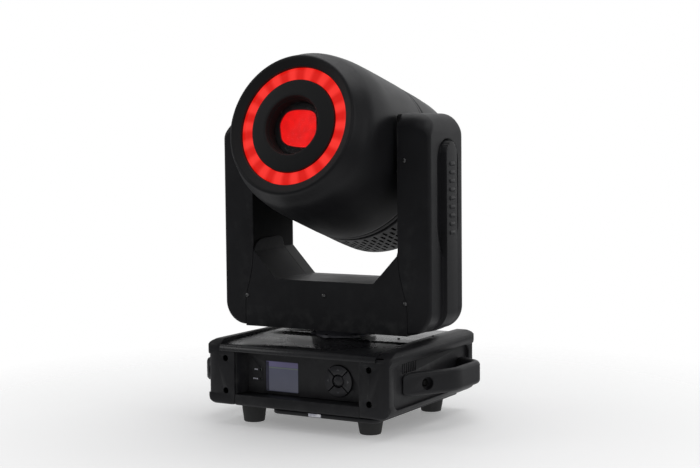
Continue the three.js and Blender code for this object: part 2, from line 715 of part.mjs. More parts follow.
place("yoke_chassis", yokeChassis(), m.steel);
place("crosspiece_front_cover", crosspieceFrontCover(), m.shell);
place("crosspiece_back_cover", crosspieceFrontCover().mirror([0, 1, 0]), m.shell);
place("right_arm_cover", rightArmCover(), m.shell);
place("left_arm_cover", mirrored(rightArmCover()), m.shell);
place("right_inner_panel", rightInnerPanel(), m.shell);
place("left_inner_panel", mirrored(rightInnerPanel()), m.shell);
place("driver_board", driverBoard(), m.board);

const tiltMotorFace = 112.5;
place("tilt_motor", motor(tiltMotor.size, 15.5, tiltMotorFace - armPlate - GAP, 9)
  .rotate([0, -90, 0]).translate([tiltMotorFace + 15.5, 0, tiltMotor.z]), m.motor);
place("tilt_motor_pulley", pulley(tiltMotor.pulleyRadius, 2.7, 102.5, 111.5, 20)
  .rotate([0, 90, 0]).translate([0, 0, tiltMotor.z]), m.aluminium);
place("tilt_belt", belt(tilt.pulleyRadius, tiltMotor.pulleyRadius, tilt.z - tiltMotor.z, 104.2, 109.8)
  .rotate([0, 90, 0]).translate([0, 0, tilt.z]), m.belt);

place("front_shell", frontShell(), m.shell, headGroup);
place("rear_shell", rearShell(), m.shell, headGroup);
place("rear_grille", rearGrille(), m.shell, headGroup);
place("lens_hood", lensHood(), m.panel, headGroup);
place("led_ring_lens", ledRingLens(), m.diffuser, headGroup);
place("led_ring_board", ledRingBoard(), m.board, headGroup);
place("front_lens", biconvex(lens.radius, lens.face - 8, 2.5, 4), m.glass, headGroup);
place("focus_lens", focusLens(), m.glass, headGroup);
place("color_wheel", filterWheel(7).translate([-wheel.offset, 0, -24]), m.aluminium, headGroup);
place("gobo_wheel", filterWheel(6).translate([wheel.offset, 0, -12]), m.steel, headGroup);
place("lamp_module", lampModule(), m.board, headGroup);
place("heat_sink", heatSink(), m.aluminium, headGroup);
place("fan_rotor", fanRotor(), m.connector, headGroup);
place("head_chassis", headChassis(), m.steel, headGroup);
place("right_trunnion", trunnion(true), m.aluminium, headGroup);
place("left_trunnion", mirrored(trunnion(false)), m.aluminium, headGroup);

export default root;
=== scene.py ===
"""Visual model of the moving head light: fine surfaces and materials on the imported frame."""

from math import acos, copysign, cos, exp, hypot, log, pi, radians, sin, sqrt, tan

import bmesh
import bpy
from mathutils import Matrix, Vector


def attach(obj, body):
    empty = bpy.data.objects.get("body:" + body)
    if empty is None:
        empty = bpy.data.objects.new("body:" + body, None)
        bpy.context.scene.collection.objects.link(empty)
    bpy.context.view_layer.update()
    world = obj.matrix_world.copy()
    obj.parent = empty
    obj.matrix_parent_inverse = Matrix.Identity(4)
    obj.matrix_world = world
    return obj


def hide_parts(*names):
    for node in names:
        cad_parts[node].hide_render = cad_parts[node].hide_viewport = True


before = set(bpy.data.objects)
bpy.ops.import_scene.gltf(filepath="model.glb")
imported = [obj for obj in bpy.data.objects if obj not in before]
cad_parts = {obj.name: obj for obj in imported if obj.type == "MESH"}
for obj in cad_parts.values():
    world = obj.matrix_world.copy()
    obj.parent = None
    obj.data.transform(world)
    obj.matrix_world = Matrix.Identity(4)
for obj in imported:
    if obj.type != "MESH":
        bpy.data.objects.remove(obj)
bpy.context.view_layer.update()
MM = 0.001
TILT_Z = 297.5  # height of the tilt axis
BEAM_UP = 15.7  # degrees above the horizontal
HEAD = Matrix.Translation((0, 0, TILT_Z * MM)) @ Matrix.Rotation(
    radians(90 - BEAM_UP), 4, "X"
)
MIRROR = Matrix.Scale(-1, 4, (1, 0, 0))
TO_RIGHT, TO_FRONT, TO_REAR, TO_FLOOR = (1, 0, 0), (0, -1, 0), (0, 1, 0), (0, 0, -1)


# ---- Materials ----


class Look:
    """A Principled material, with short calls for the nodes that vary it."""

    def __init__(self, name, **sockets):
        self.material = bpy.data.materials.new(name)
        self.material.use_nodes = True
        self.tree = self.material.node_tree
        self.shader = self.tree.nodes["Principled BSDF"]
        for socket, value in sockets.items():
            self.shader.inputs[socket.replace("_", " ")].default_value = value
        self.coords = self.add("TexCoord").outputs["Object"]

    def add(self, kind, inputs=None, **settings):
        node = self.tree.nodes.new("ShaderNode" + kind)
        for key, value in settings.items():
            setattr(node, key, value)
        for key, value in (inputs or {}).items():
            if isinstance(value, bpy.types.NodeSocket):
                self.tree.links.new(value, node.inputs[key])
            else:
                node.inputs[key].default_value = value
        return node

    def noise(self, scale, detail=3.0, roughness=0.55, vector=None):
        inputs = {"Scale": scale, "Detail": detail, "Roughness": roughness}
        inputs["Vector"] = vector or self.coords
        return self.add("TexNoise", inputs).outputs["Fac"]

    def map(self, value, low, high, to_low, to_high):
        inputs = {0: value, 1: low, 2: high, 3: to_low, 4: to_high}
        return self.add("MapRange", inputs, clamp=True).outputs[0]

    def math(self, operation, a, b=0.0):
        return self.add("Math", {0: a, 1: b}, operation=operation).outputs[0]

    def mix(self, factor, a, b):
        node = self.add("Mix", {0: factor, 6: a, 7: b}, data_type="RGBA")
        return node.outputs[2]

    def axes(self):
        return self.add("SeparateXYZ", {0: self.coords}).outputs[:3]

    def edges(self):
        """1 on sharp outer edges, 0 elsewhere."""
        point = self.add("NewGeometry").outputs["Pointiness"]
        return self.map(point, 0.52, 0.6, 0.0, 1.0)

    def bump(self, height, strength, distance=0.0002):
        inputs = {"Height": height, "Strength": strength, "Distance": distance}
        return self.add("Bump", inputs).outputs[0]

    def use(self, **sockets):
        for key, value in sockets.items():
            self.tree.links.new(value, self.shader.inputs[key.replace("_", " ")])
        return self.material


def grey(v, blue=1.0):
    return (v, v, v * blue, 1.0)


GRAIN, BRUSHING = 1500.0, 900.0  # marks per metre


def plastic(name, tone, rough, grain=0.35, blue=1.14, wear=0.5, gloss=0.5):
    """Moulded black plastic: spark-eroded grain, faint cloudiness, dust and rubbed edges."""
    look = Look(name, Specular_IOR_Level=gloss)
    cloud = look.noise(22.0, 4.0)
    dust = look.map(look.noise(180.0, 6.0, 0.7), 0.58, 0.8, 0.0, 0.35)
    patches = look.map(cloud, 0.3, 0.7, 0.0, 1.0)
    base = look.mix(patches, grey(tone * 0.85, blue), grey(tone * 1.2, blue))
    dusty = look.mix(dust, base, grey(tone * 2.2 + 0.004))
    rubbed = look.map(look.noise(90.0, 5.0), 0.45, 0.7, 0.0, wear)
    rubbed_edges = look.math("MULTIPLY", look.edges(), rubbed)
    color = look.mix(rubbed_edges, dusty, grey(tone * 3.0 + 0.02))
    fine = look.noise(GRAIN, 2.0, 0.5)
    cells = {"Vector": look.coords, "Scale": GRAIN * 0.62}
    coarse = look.add("TexVoronoi", cells, feature="SMOOTH_F1").outputs["Distance"]
    relief = look.bump(look.math("ADD", fine, coarse), grain, 0.00012)
    cloudy = look.map(cloud, 0.3, 0.7, rough - 0.04, rough + 0.05)
    roughness = look.math("ADD", cloudy, look.math("MULTIPLY", dust, 0.25))
    return look.use(Base_Color=color, Roughness=roughness, Normal=relief)


def metal(name, tone, rough, tint=(1.0, 1.0, 1.0)):
    """Metal with brushing along one way and small stains."""
    look = Look(name, Metallic=1.0)
    stretch = {"Vector": look.coords, "Scale": (1.0, 1.0, 0.04)}
    brushed = look.noise(BRUSHING, 4.0, 0.6, look.add("Mapping", stretch).outputs[0])
    stain = look.map(look.noise(60.0, 4.0), 0.3, 0.7, 0.0, 1.0)
    dark = tuple(tone * 0.75 * c for c in tint) + (1.0,)
    light = tuple(tone * 1.1 * c for c in tint) + (1.0,)
    color = look.mix(stain, dark, light)
    roughness = look.map(brushed, 0.2, 0.8, rough - 0.1, rough + 0.12)
    return look.use(Base_Color=color, Roughness=roughness, Normal=look.bump(brushed, 0.15))


def rubber(name, tone):
    """Dusty black rubber."""
    look = Look(name)
    cloud = look.noise(70.0, 5.0)
    dust = look.map(look.noise(260.0, 5.0, 0.7), 0.52, 0.75, 0.0, 0.5)
    color = look.mix(dust, look.mix(cloud, grey(tone * 0.7), grey(tone * 1.4)), grey(0.045))
    relief = look.bump(look.noise(2200.0, 3.0), 0.4, 0.00015)
    roughness = look.map(cloud, 0.3, 0.7, 0.72, 0.88)
    return look.use(Base_Color=color, Roughness=roughness, Normal=relief)


def circuit_board():
    """Green solder mask with tracks and pads."""
    look = Look("circuit_board")
    cells = {"Vector": look.coords, "Scale": 210.0}
    edge = look.add("TexVoronoi", cells, feature="DISTANCE_TO_EDGE", distance="MANHATTAN")
    track = look.map(edge.outputs["Distance"], 0.03, 0.06, 1.0, 0.0)
    pad = look.add("TexVoronoi", {"Vector": look.coords, "Scale": 420.0}).outputs["Distance"]
    dot = look.map(pad, 0.12, 0.16, 1.0, 0.0)
    mask = look.mix(track, (0.006, 0.05, 0.022, 1.0), (0.012, 0.11, 0.045, 1.0))
    color = look.mix(dot, mask, (0.55, 0.5, 0.38, 1.0))
    roughness = look.map(dot, 0.0, 1.0, 0.42, 0.3)
    return look.use(Base_Color=color, Roughness=roughness, Normal=look.bump(track, 0.3))


RING_LAMPS = 18.0


def ring_diffuser():
    """A milky ring lit by red lamps close behind it, so each lamp shows as a soft spot."""
    look = Look("ring_diffuser", Roughness=0.4)
    x, y, _ = look.axes()
    angle = look.math("ARCTAN2", y, x)
    wave = look.math("COSINE", look.math("MULTIPLY", angle, RING_LAMPS))
    wobble = look.map(look.noise(45.0, 2.0), 0.3, 0.7, -0.2, 0.2)
    spot = look.map(look.math("ADD", wave, wobble), -0.7, 0.7, 0.0, 1.0)
    glow = look.mix(spot, (0.7, 0.009, 0.005, 1.0), (0.93, 0.032, 0.024, 1.0))
    strength = look.map(spot, 0.0, 1.0, 0.98, 1.0)
    body = look.mix(spot, (0.05, 0.002, 0.002, 1.0), (0.06, 0.003, 0.003, 1.0))
    return look.use(Base_Color=body, Emission_Color=glow, Emission_Strength=strength)


def lamp_glow():
    """The lit rounded square seen through the lens."""
    look = Look("lamp_glow", Roughness=0.3)
    cloud = look.map(look.noise(120.0, 3.0), 0.3, 0.75, 0.0, 1.0)
    color = look.mix(cloud, (0.8, 0.0, 0.0, 1.0), (1.0, 0.004, 0.002, 1.0))
    strength = look.map(cloud, 0.0, 1.0, 0.9, 1.0)
    body = look.mix(cloud, (0.03, 0.001, 0.001, 1.0), (0.04, 0.002, 0.002, 1.0))
    return look.use(Base_Color=body, Emission_Color=color, Emission_Strength=strength)


def glass(name, tint, alpha=0.2):
    """Clear glass or plastic with smears, mostly seen through."""
    look = Look(name, Transmission_Weight=1.0, IOR=1.5, Coat_Weight=0.4, Alpha=alpha)
    smear = look.map(look.noise(140.0, 5.0, 0.6), 0.45, 0.75, 0.02, 0.09)
    cloud = look.noise(60.0, 2.0)
    color = look.mix(cloud, tint, tuple(0.9 * c for c in tint[:3]) + (1.0,))
    return look.use(Base_Color=color, Roughness=smear)


SCREEN_LOW, SCREEN_HIGH = 37.9, 69.7  # heights in mm


def screen():
    """A lit menu: a lilac title band, a green rule and a grey-blue page that fades downwards."""
    look = Look("screen", Roughness=0.18, Coat_Weight=0.5)
    _, _, z = look.axes()
    span = look.map(z, SCREEN_LOW * MM, SCREEN_HIGH * MM, 0.0, 1.0)
    page = look.mix(span, (0.045, 0.047, 0.068, 1.0), (0.055, 0.059, 0.09, 1.0))
    band = look.mix(look.math("GREATER_THAN", span, 0.84), page, (0.075, 0.068, 0.13, 1.0))
    rule = look.math("COMPARE", span, 0.8)
    rule.node.inputs[2].default_value = 0.02
    lit = look.mix(rule, band, (0.075, 0.09, 0.085, 1.0))
    smear = look.map(look.noise(60.0, 4.0), 0.3, 0.75, 0.12, 0.28)
    strength = look.map(look.noise(30.0, 1.0), 0.3, 0.7, 0.75, 0.95)
    dark = look.mix(span, grey(0.01, 1.3), grey(0.012, 1.3))
    return look.use(
        Base_Color=dark, Emission_Color=lit, Emission_Strength=strength, Roughness=smear
    )



SHELL = plastic("shell_plastic", 0.0145, 0.46, gloss=0.34)
HEAD_SHELL = plastic("head_shell_plastic", 0.0125, 0.42, grain=0.25, gloss=0.34)
FACE = plastic("face_plastic", 0.006, 0.6, grain=0.2)
TOP = plastic("top_plastic", 0.013, 0.27, grain=0.06, wear=0.3, gloss=0.6)
# The shell's black made darker: painted shade on the arms' inner sides, between arm and head.
INNER_PANEL_SHADE = plastic("inner_panel_painted_shade", 0.005, 0.6, grain=0.2, gloss=0.2)
PANEL = plastic("panel_plastic", 0.014, 0.46, grain=0.3)
BUTTON = plastic("button_plastic", 0.024, 0.36, grain=0.2)
SOCKET = plastic("socket_plastic", 0.012, 0.32, grain=0.1)
# Deep black that stands where there is only shade: painted shade in the vent pits, the lens
# funnel, behind the lens, under the keys and in the data outlet's holes.
SHADE_BLACK = plastic("painted_shade_black", 0.003, 0.8, grain=0.1)
PRINT = plastic("print_grey", 0.6, 0.5, grain=0.1)
ARROW = plastic("arrow_print", 0.07, 0.5, grain=0.1)
STICKER = plastic("blank_sticker", 0.6, 0.45, grain=0.05)
RUBBER = rubber("foot_rubber", 0.04)
BELT = rubber("belt_rubber", 0.008)
STEEL = metal("frame_steel", 0.45, 0.38)
ALUMINIUM = metal("machined_aluminium", 0.62, 0.34)
SCREW = metal("black_screw", 0.1, 0.34)
# The same black screw metal made lighter: painted highlight on the yoke's screws.
SCREW_PAINTED_HIGHLIGHT = metal("screw_painted_highlight", 0.2, 0.3)
# The black screw metal made darker: painted shade on screws deep in the grip recesses.
SCREW_PAINTED_SHADE = metal("screw_painted_shade", 0.03, 0.5)
# Black plastic like the base's, given a much lighter tone: painted light on a hub that sits in the
# yoke's shade.
HUB_PAINTED_LIGHT = plastic("hub_plastic_painted_light", 0.16, 0.4, grain=0.2)
# A copy of the shell plastic with its own darker tone and lower roughness; the tone is painted
# shading, to reproduce the different light on the crosspiece's back band.
BACK_COVER_PAINTED_SHADING = plastic("back_cover_painted_shading", 0.011, 0.4, grain=0.2, gloss=0.3)
BRASS = metal("contact_metal", 0.7, 0.25, tint=(1.0, 0.82, 0.5))
MOTOR = metal("motor_black", 0.09, 0.42)
BOARD = circuit_board()
DIFFUSER = ring_diffuser()
GLOW = lamp_glow()
LENS_GLASS = glass("optical_glass", (0.75, 0.82, 0.9, 1.0))
SCREEN = screen()
# A purplish strip at the screen's left edge: painted reflection of the bezel's edge in the screen.
SCREEN_PAINTED_REFLECTION = plastic("display_painted_reflection", 0.05, 0.2, 0.05, 1.9)
BLUE_SOCKET = plastic("socket_blue", 0.03, 0.4, 0.1, 3.2)
GREY_SOCKET = plastic("socket_grey", 0.16, 0.42, 0.1, 1.0)
LED = glass("led_pipe", (0.9, 1.0, 0.9, 1.0), 0.8)


# ---- Mesh tools, in millimetres ----


def new_object(name, data):
    """An object for data, linked to the scene."""
    obj = bpy.data.objects.new(name, data)
    bpy.context.scene.collection.objects.link(obj)
    return obj


def make(name, points, faces, finish, place=None, smooth=35.0):
    mesh = bpy.data.meshes.new(name)
    mesh.from_pydata([[c * MM for c in p] for p in points], [], faces)
    work = bmesh.new()
    work.from_mesh(mesh)
    bmesh.ops.remove_doubles(work, verts=work.verts, dist=2e-6)
    bmesh.ops.dissolve_degenerate(work, edges=work.edges, dist=1e-7)
    bmesh.ops.recalc_face_normals(work, faces=work.faces)
    work.to_mesh(mesh)
    work.free()
    mesh.materials.append(finish)
    obj = new_object(name, mesh)
    if place is not None:
        obj.matrix_world = place
    soften(obj, smooth)
    return obj


def soften(obj, angle=35.0):
    obj.data.shade_smooth()
    obj.data.set_sharp_from_angle(angle=radians(angle))


def settle(obj, angle=35.0):
    """Applies obj's modifiers."""
    bpy.context.view_layer.update()
    graph = bpy.context.evaluated_depsgraph_get()
    obj.data = bpy.data.meshes.new_from_object(obj.evaluated_get(graph))
    obj.modifiers.clear()
    soften(obj, angle)
    return obj


def bevel(obj, width, segments=3, angle=35.0):
    mod = obj.modifiers.new("Bevel", "BEVEL")
    mod.width = width * MM
    mod.segments = segments
    mod.limit_method = "ANGLE"
    mod.angle_limit = radians(angle)
    mod.miter_outer = "MITER_ARC"
    mod.use_clamp_overlap = True
    mod.harden_normals = True
    return obj


def boolean(obj, cutters, operation="DIFFERENCE"):
    for cutter in cutters:
        mod = obj.modifiers.new("Cut", "BOOLEAN")
        mod.object = cutter
        mod.operation = operation
        mod.solver = "EXACT"
    settle(obj)
    for cutter in cutters:
        bpy.data.objects.remove(cutter)
    return obj


def put(obj, body, *replaced, own_axes=False):
    """Sends a finished piece to its body. Its looks work in the shared axes unless own_axes."""
    if not own_axes:
        obj.data.transform(obj.matrix_world)
        obj.matrix_world = Matrix.Identity(4)
    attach(obj, body)
    if replaced:
        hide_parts(*replaced)


def paint(obj, finish, chosen):
    """Gives finish to the faces for which chosen(distance of the centre from Z, centre) holds."""
    obj.data.materials.append(finish)
    for face in obj.data.polygons:
        centre = face.center / MM
        if chosen(hypot(centre.x, centre.y), centre):
            face.material_index = 1


def smoothstep(low, high, value):
    t = max(0.0, min(1.0, (value - low) / (high - low)))
    return t * t * (3 - 2 * t)


def smooth_curve(points, steps):
    """Catmull-Rom through 2-D points."""

    def between(p, q, r, s, t):
        square = (2 * p - 5 * q + 4 * r - s) * t * t
        return 0.5 * (2 * q + (r - p) * t + square + (3 * q - p - 3 * r + s) * t**3)

    ends = [points[0], *points, points[-1]]
    curve = []
    for four in zip(ends, ends[1:], ends[2:], ends[3:]):
        for k in range(steps):
            curve.append(tuple(between(*values, k / steps) for values in zip(*four)))
    return curve + [points[-1]]


def outline(corners, steps=6):
    """A polygon whose corners (a, b, radius) are rounded."""
    points = []
    count = len(corners)
    for i, (a, b, radius) in enumerate(corners):
        here = Vector((a, b))
        if radius <= 0:
            points.append((a, b))
            continue
        before = (Vector(corners[i - 1][:2]) - here).normalized()
        after = (Vector(corners[(i + 1) % count][:2]) - here).normalized()
        half = acos(max(-1, min(1, before.dot(after)))) / 2
        reach = radius / tan(half)
        centre = here + (before + after).normalized() * radius / sin(half)
        start = here + before * reach - centre
        end = here + after * reach - centre
        sweep = start.angle_signed(end)
        for k in range(steps + 1):
            turned = start.copy()
            turned.rotate(Matrix.Rotation(-sweep * k / steps, 2))
            points.append(tuple(centre + turned))
    return points


def rectangle(a, b, radius, steps=6):
    """a and b are (low, high) pairs."""
    corners = [(a[0], b[0]), (a[1], b[0]), (a[1], b[1]), (a[0], b[1])]
    return outline([(x, y, radius) for x, y in corners], steps)


AXIS = {
    "x": lambda a, b, c: (c, a, b),
    "y": lambda a, b, c: (a, c, b),
    "z": lambda a, b, c: (a, b, c),
}


def prism(name, shape, low, high, axis, finish, place=None):
    """shape's two axes are the row's other two, in X, Y, Z order."""
    at = AXIS[axis]
    count = len(shape)
    points = [at(a, b, low) for a, b in shape] + [at(a, b, high) for a, b in shape]
    faces = [list(range(count)), list(range(2 * count - 1, count - 1, -1))]
    for i in range(count):
        j = (i + 1) % count
        faces.append((i, j, j + count, i + count))
    return make(name, points, faces, finish, place)


def block(name, x, y, z, finish, place=None):
    corners = [(x[0], y[0]), (x[1], y[0]), (x[1], y[1]), (x[0], y[1])]
    return prism(name, corners, *z, "z", finish, place)


def lathe(name, profile, finish, place=None, steps=96, warp=None, smooth=35.0):
    """A profile of (radius, height) turned about local Z."""
    points, faces = [], []
    count = len(profile)
    for k in range(steps):
        angle = 2 * pi * k / steps
        for r, z in profile:
            point = (r * cos(angle), r * sin(angle), z)
            points.append(warp(*point) if warp else point)
    for k in range(steps):
        for i in range(count - 1):
            a, b = k * count + i, (k + 1) % steps * count + i
            faces.append((a, b, b + 1, a + 1))
    return make(name, points, faces, finish, place, smooth)


def rod(radius, low, high, finish, place=None, steps=64):
    """A plain cylinder about local Z, to cut with."""
    profile = [(0, low), (radius, low), (radius, high), (0, high)]
    return lathe("rod", profile, finish, place, steps)


def grid(rows):
    """Points and faces of a sheet, given as a list of equally long rows."""
    width = len(rows[0])
    faces = []
    for i in range(len(rows) - 1):
        for j in range(width - 1):
            a = i * width + j
            faces.append((a, a + 1, a + 1 + width, a + width))
    return [p for row in rows for p in row], faces


def turn_to(normal):
    """A rotation whose Z is normal."""
    return Vector(normal).to_track_quat("Z", "Y").to_matrix().to_4x4()


def at(x, y, z, normal=(0, 0, 1)):
    return Matrix.Translation(Vector((x, y, z)) * MM) @ turn_to(normal)


def joined(name, parts, angle=35.0):
    """Several objects as one."""
    target = parts[0]
    work = bmesh.new()
    materials = []
    for part in parts:
        mesh = part.data.copy()
        mesh.transform(part.matrix_world)
        shift = []
        for material in part.data.materials:
            if material not in materials:
                materials.append(material)
            shift.append(materials.index(material))
        for face in mesh.polygons:
            face.material_index = shift[face.material_index]
        work.from_mesh(mesh)
    mesh = bpy.data.meshes.new(name)
    work.to_mesh(mesh)
    work.free()
    for material in materials:
        mesh.materials.append(material)
    obj = new_object(name, mesh)
    for part in parts:
        bpy.data.objects.remove(part)
    soften(obj, angle)
    return obj


def screw(place, radius, finish=SCREW):
    """A domed head with a cross recess."""
    dome = [(0, 0.62), (0.5, 0.56), (0.85, 0.36), (1, 0.12), (1, -0.25), (0, -0.25)]
    head = lathe("screw", [(r * radius, z * radius) for r, z in dome], finish, None, 24)
    arm, half, depth = 0.55 * radius, 0.11 * radius, (0.22 * radius, radius)
    boolean(head, [block("slot", (-arm, arm), (-half, half), depth, SHADE_BLACK),
                   block("slot", (-half, half), (-arm, arm), depth, SHADE_BLACK)])
    head.matrix_world = place
    return head


def put_screws(name, body, screws, place=None):
    """Several screws as one piece."""
    group = joined(name, screws)
    if place is not None:
        group.matrix_world = place
    put(group, body)


def side_name(side):
    return "left" if side < 0 else "right"


def to_side(obj, side):
    """Mirrors a right-hand piece when side is -1."""
    if side < 0:
        obj.data.transform(MIRROR)
        obj.data.flip_normals()


# ---- Head, in its own frame: Z along the beam, Y upwards ----

FLAT = 87.4  # half the width across the flats beside the arms
SEAM = -24.0
BACK = -112.0


def limited(x, y, z):
    """Flattens the barrel at the flats, over a soft turn."""
    soft = 0.9
    size = abs(x)
    if size > FLAT - 8 * soft:
        size = -soft * log(exp(-size / soft) + exp(-FLAT / soft))
    return (copysign(size, x), y, z)


def front_shell():
    barrel = smooth_curve(
        [(74.0, 109.9), (75.8, 109.0), (77.3, 106.6), (80.9, 98), (84.9, 89), (87.5, 78),
         (90.1, 60), (91.4, 40), (92.5, 15), (93.3, -8), (93.8, SEAM + 1.1)], 5)
    inside = [(93.4, SEAM + 0.4), (92.6, SEAM + 0.3), (90.3, SEAM + 0.3), (90.3, 0), (87, 60),
              (79, 90), (66, 98), (64.4, 98), (64.4, 105.2), (64.8, 106.0), (65.7, 106.5),
              (71.6, 109.1), (72.8, 109.7), (74.0, 109.9)]
    profile = barrel + inside
    shell = lathe("front_shell_moulding", profile, HEAD_SHELL, None, 144, limited, 40)
    bores = [rod(18.6, -20, 20, SHADE_BLACK, at(side * 90, 0, 0, TO_RIGHT), 48) for side in (-1, 1)]
    boolean(shell, bores)
    shell.matrix_world = HEAD
    paint(shell, FACE, lambda away, centre: centre.z > 97 and away < 73.4)
    put(shell, "head", "front_shell")


def vented_columns():
    """Angles round the barrel, and the parity of each column's slots, or None."""
    angles, slots = [], []
    pitch, width, half = 3.7, 1.6, 9
    angle = -180.0
    for middle in (-90.0, 90.0, None):
        first = 180.0 if middle is None else middle - (half + 0.5) * pitch
        while angle < first - 1e-6:
            angles.append(angle)
            slots.append(None)
            angle = min(angle + 3.0, first)
        if middle is None:
            break
        for k in range(2 * half + 1):
            for start in (0.0, pitch - width, pitch - width / 2):
                angles.append(angle + start)
                slots.append(k % 2 if start else None)
            angle += pitch
    return angles, slots


SLOT, PIT = 10.4, 2.4  # length and depth of a vent slot
SLOT_STARTS = {0: (-40.0, -54.0, -68.0, -82.0), 1: (-47.0, -61.0, -75.0)}


def rear_radius(z):
    return 95.1 - 1.3 * smoothstep(-80, SEAM, z)


def rear_shell():
    """The back of the barrel, with staggered slots along it underneath and on top."""
    lip = [(90.3, SEAM - 0.3), (92.8, SEAM - 0.3), (93.6, SEAM - 0.9), (93.8, SEAM - 2),
           (93.9, SEAM - 6), (93.4, SEAM - 6.6), (92.4, SEAM - 6.9), (92.4, SEAM - 8.1),
           (93.4, SEAM - 8.4), (93.9, SEAM - 9)]
    ends = {z for starts in SLOT_STARTS.values() for top in starts for z in (top, top - SLOT)}
    body = [(rear_radius(z), z) for z in sorted(ends | {-38.0}, reverse=True)]
    turns = [t * pi / 20 for t in range(11)]
    arc = [(79.2 + 15.9 * cos(t), -96 - 15.9 * sin(t)) for t in turns]
    end = [(60, BACK), (50, BACK), (47.2, BACK + 0.3), (46.2, BACK + 1.2), (46.0, BACK + 4),
           (46.0, BACK + 6)]
    profile = lip + body + arc + end
    angles, slots = vented_columns()
    points, faces = [], []
    count, columns = len(profile), len(angles)

    def point(i, j, sink=0.0):
        r, z = profile[i]
        t = radians(angles[j])
        return limited((r - sink) * cos(t), (r - sink) * sin(t), z)

    def pit(i, j):
        if slots[j] is None or not 0 <= i < count - 1:
            return False
        middle = (profile[i][1] + profile[i + 1][1]) / 2
        return any(start - SLOT < middle < start for start in SLOT_STARTS[slots[j]])

    for j in range(columns):
        points += [point(i, j) for i in range(count)]
    for j in range(columns):
        k = (j + 1) % columns
        for i in range(count - 1):
            quad = (j * count + i, k * count + i, k * count + i + 1, j * count + i + 1)
            if not pit(i, j):
                faces.append(quad)
                continue
            floor = len(points)
            points += [point(a, b, PIT) for a, b in ((i, j), (i, k), (i + 1, k), (i + 1, j))]
            faces.append(tuple(range(floor, floor + 4)))
            beside = (pit(i - 1, j), pit(i, k), pit(i + 1, j), pit(i, j - 1))
            for a in range(4):
                if not beside[a]:
                    b = (a + 1) % 4
                    faces.append((quad[a], quad[b], floor + b, floor + a))
    shell = make("rear_shell_moulding", points, faces, HEAD_SHELL, HEAD, 40)
    # The sunken floors of the vent slots are painted deep black: painted shade for the dark inside
    # of the vents.
    paint(shell, SHADE_BLACK, lambda away, centre: -93 < centre.z < -42 and abs(centre.x) < 80
          and away < rear_radius(centre.z) - 0.6)
    put(shell, "head", "rear_shell")


def rear_grille():
    """Rings on spokes over the fan."""

    def hoop(inner, outer, low, high):
        corners = [(inner, BACK + low), (outer, BACK + low), (outer, BACK + high),
                   (inner, BACK + high), (inner, BACK + low)]
        return lathe("hoop", corners, PANEL, None, 72)

    parts = [hoop(radius - 1.1, radius + 1.1, 0.8, 2.6) for radius in (9, 17, 25, 33, 41)]
    parts.append(hoop(43.4, 45.6, 0.5, 3))
    for k in range(8):
        turn = Matrix.Rotation(k * pi / 4, 4, "Z")
        spoke = (BACK + 1.0, BACK + 2.8)
        parts.append(block("spoke", (8.4, 44), (-1.2, 1.2), spoke, PANEL, turn))
    middle = [(0, 0.5), (8.4, 0.5), (9, 1.2), (9, 3), (0, 3)]
    parts.append(lathe("hub", [(radius, BACK + z) for radius, z in middle], PANEL, None, 48))
    grille = joined("rear_fan_grille", parts)
    bevel(grille, 0.3, 2)
    grille.matrix_world = HEAD
    put(grille, "head", "rear_grille")


GLOW_SHAPE = [
    (-22.4, 1.0), (-22.3, 7.2), (-18.6, 14.9), (-12.9, 18.7), (-3.1, 20.2), (9.5, 19.6),
    (16.0, 17.6), (19.8, 13.2), (22.2, 0.1), (21.9, -9.7), (20.0, -17.0), (15.7, -20.2),
    (5.8, -20.5), (-7.0, -18.9), (-13.7, -16.2), (-19.0, -10.5),
]


def ring_and_lens():
    section = [(50.9, 99.4), (50.9, 102.5), (51.5, 103.0), (57.5, 103.5), (63.4, 103.0),
               (64.1, 102.5), (64.1, 99.4), (50.9, 99.4)]
    ring = lathe("led_ring_diffuser", section, DIFFUSER, HEAD, 192)
    put(ring, "head", "led_ring_lens", own_axes=True)
    section = [(50.5, 96), (50.5, 104.4), (50.1, 105.2), (49.2, 105.6), (44, 106.4),
               (36, 107.5), (33.6, 107.8), (32.7, 107.6), (32.1, 106.8), (31.2, 103.6),
               (31.2, 103.2), (30.5, 103.0), (29.6, 98.0), (29.3, 94), (29.3, 88), (31.5, 88),
               (48, 96), (50.5, 96)]
    hood = lathe("lens_hood_moulding", section, FACE, HEAD, 144)
    # The inside of the funnel round the lens is painted deep black: painted shade in the recess.
    paint(hood, SHADE_BLACK, lambda away, centre: away < 32.3 and centre.z > 90)
    put(hood, "head", "lens_hood")
    dome = [(0.5 + 28.2 * k / 12, 97.9 - 2.6 * (k / 12) ** 2) for k in range(13)]
    section = [(0, 97.9), *dome, (28.7, 94.4), (0, 94.4)]
    put(lathe("front_lens_glass", section, LENS_GLASS, HEAD, 96), "head", "front_lens")
    # A deep black disc behind the lens, round the glow: painted shade for the dark inside of the
    # head.
    section = [(0, 93.4), (29.0, 93.4), (29.0, 92.4), (0, 92.4)]
    put(lathe("lens_painted_shade_disc", section, SHADE_BLACK, HEAD, 64), "head")
    ends = [*GLOW_SHAPE[-2:], *GLOW_SHAPE, *GLOW_SHAPE[:2]]
    shape = smooth_curve(ends, 5)[10:-10]
    put(prism("lamp_glow", shape, 93.5, 93.8, "z", GLOW, HEAD), "head", own_axes=True)


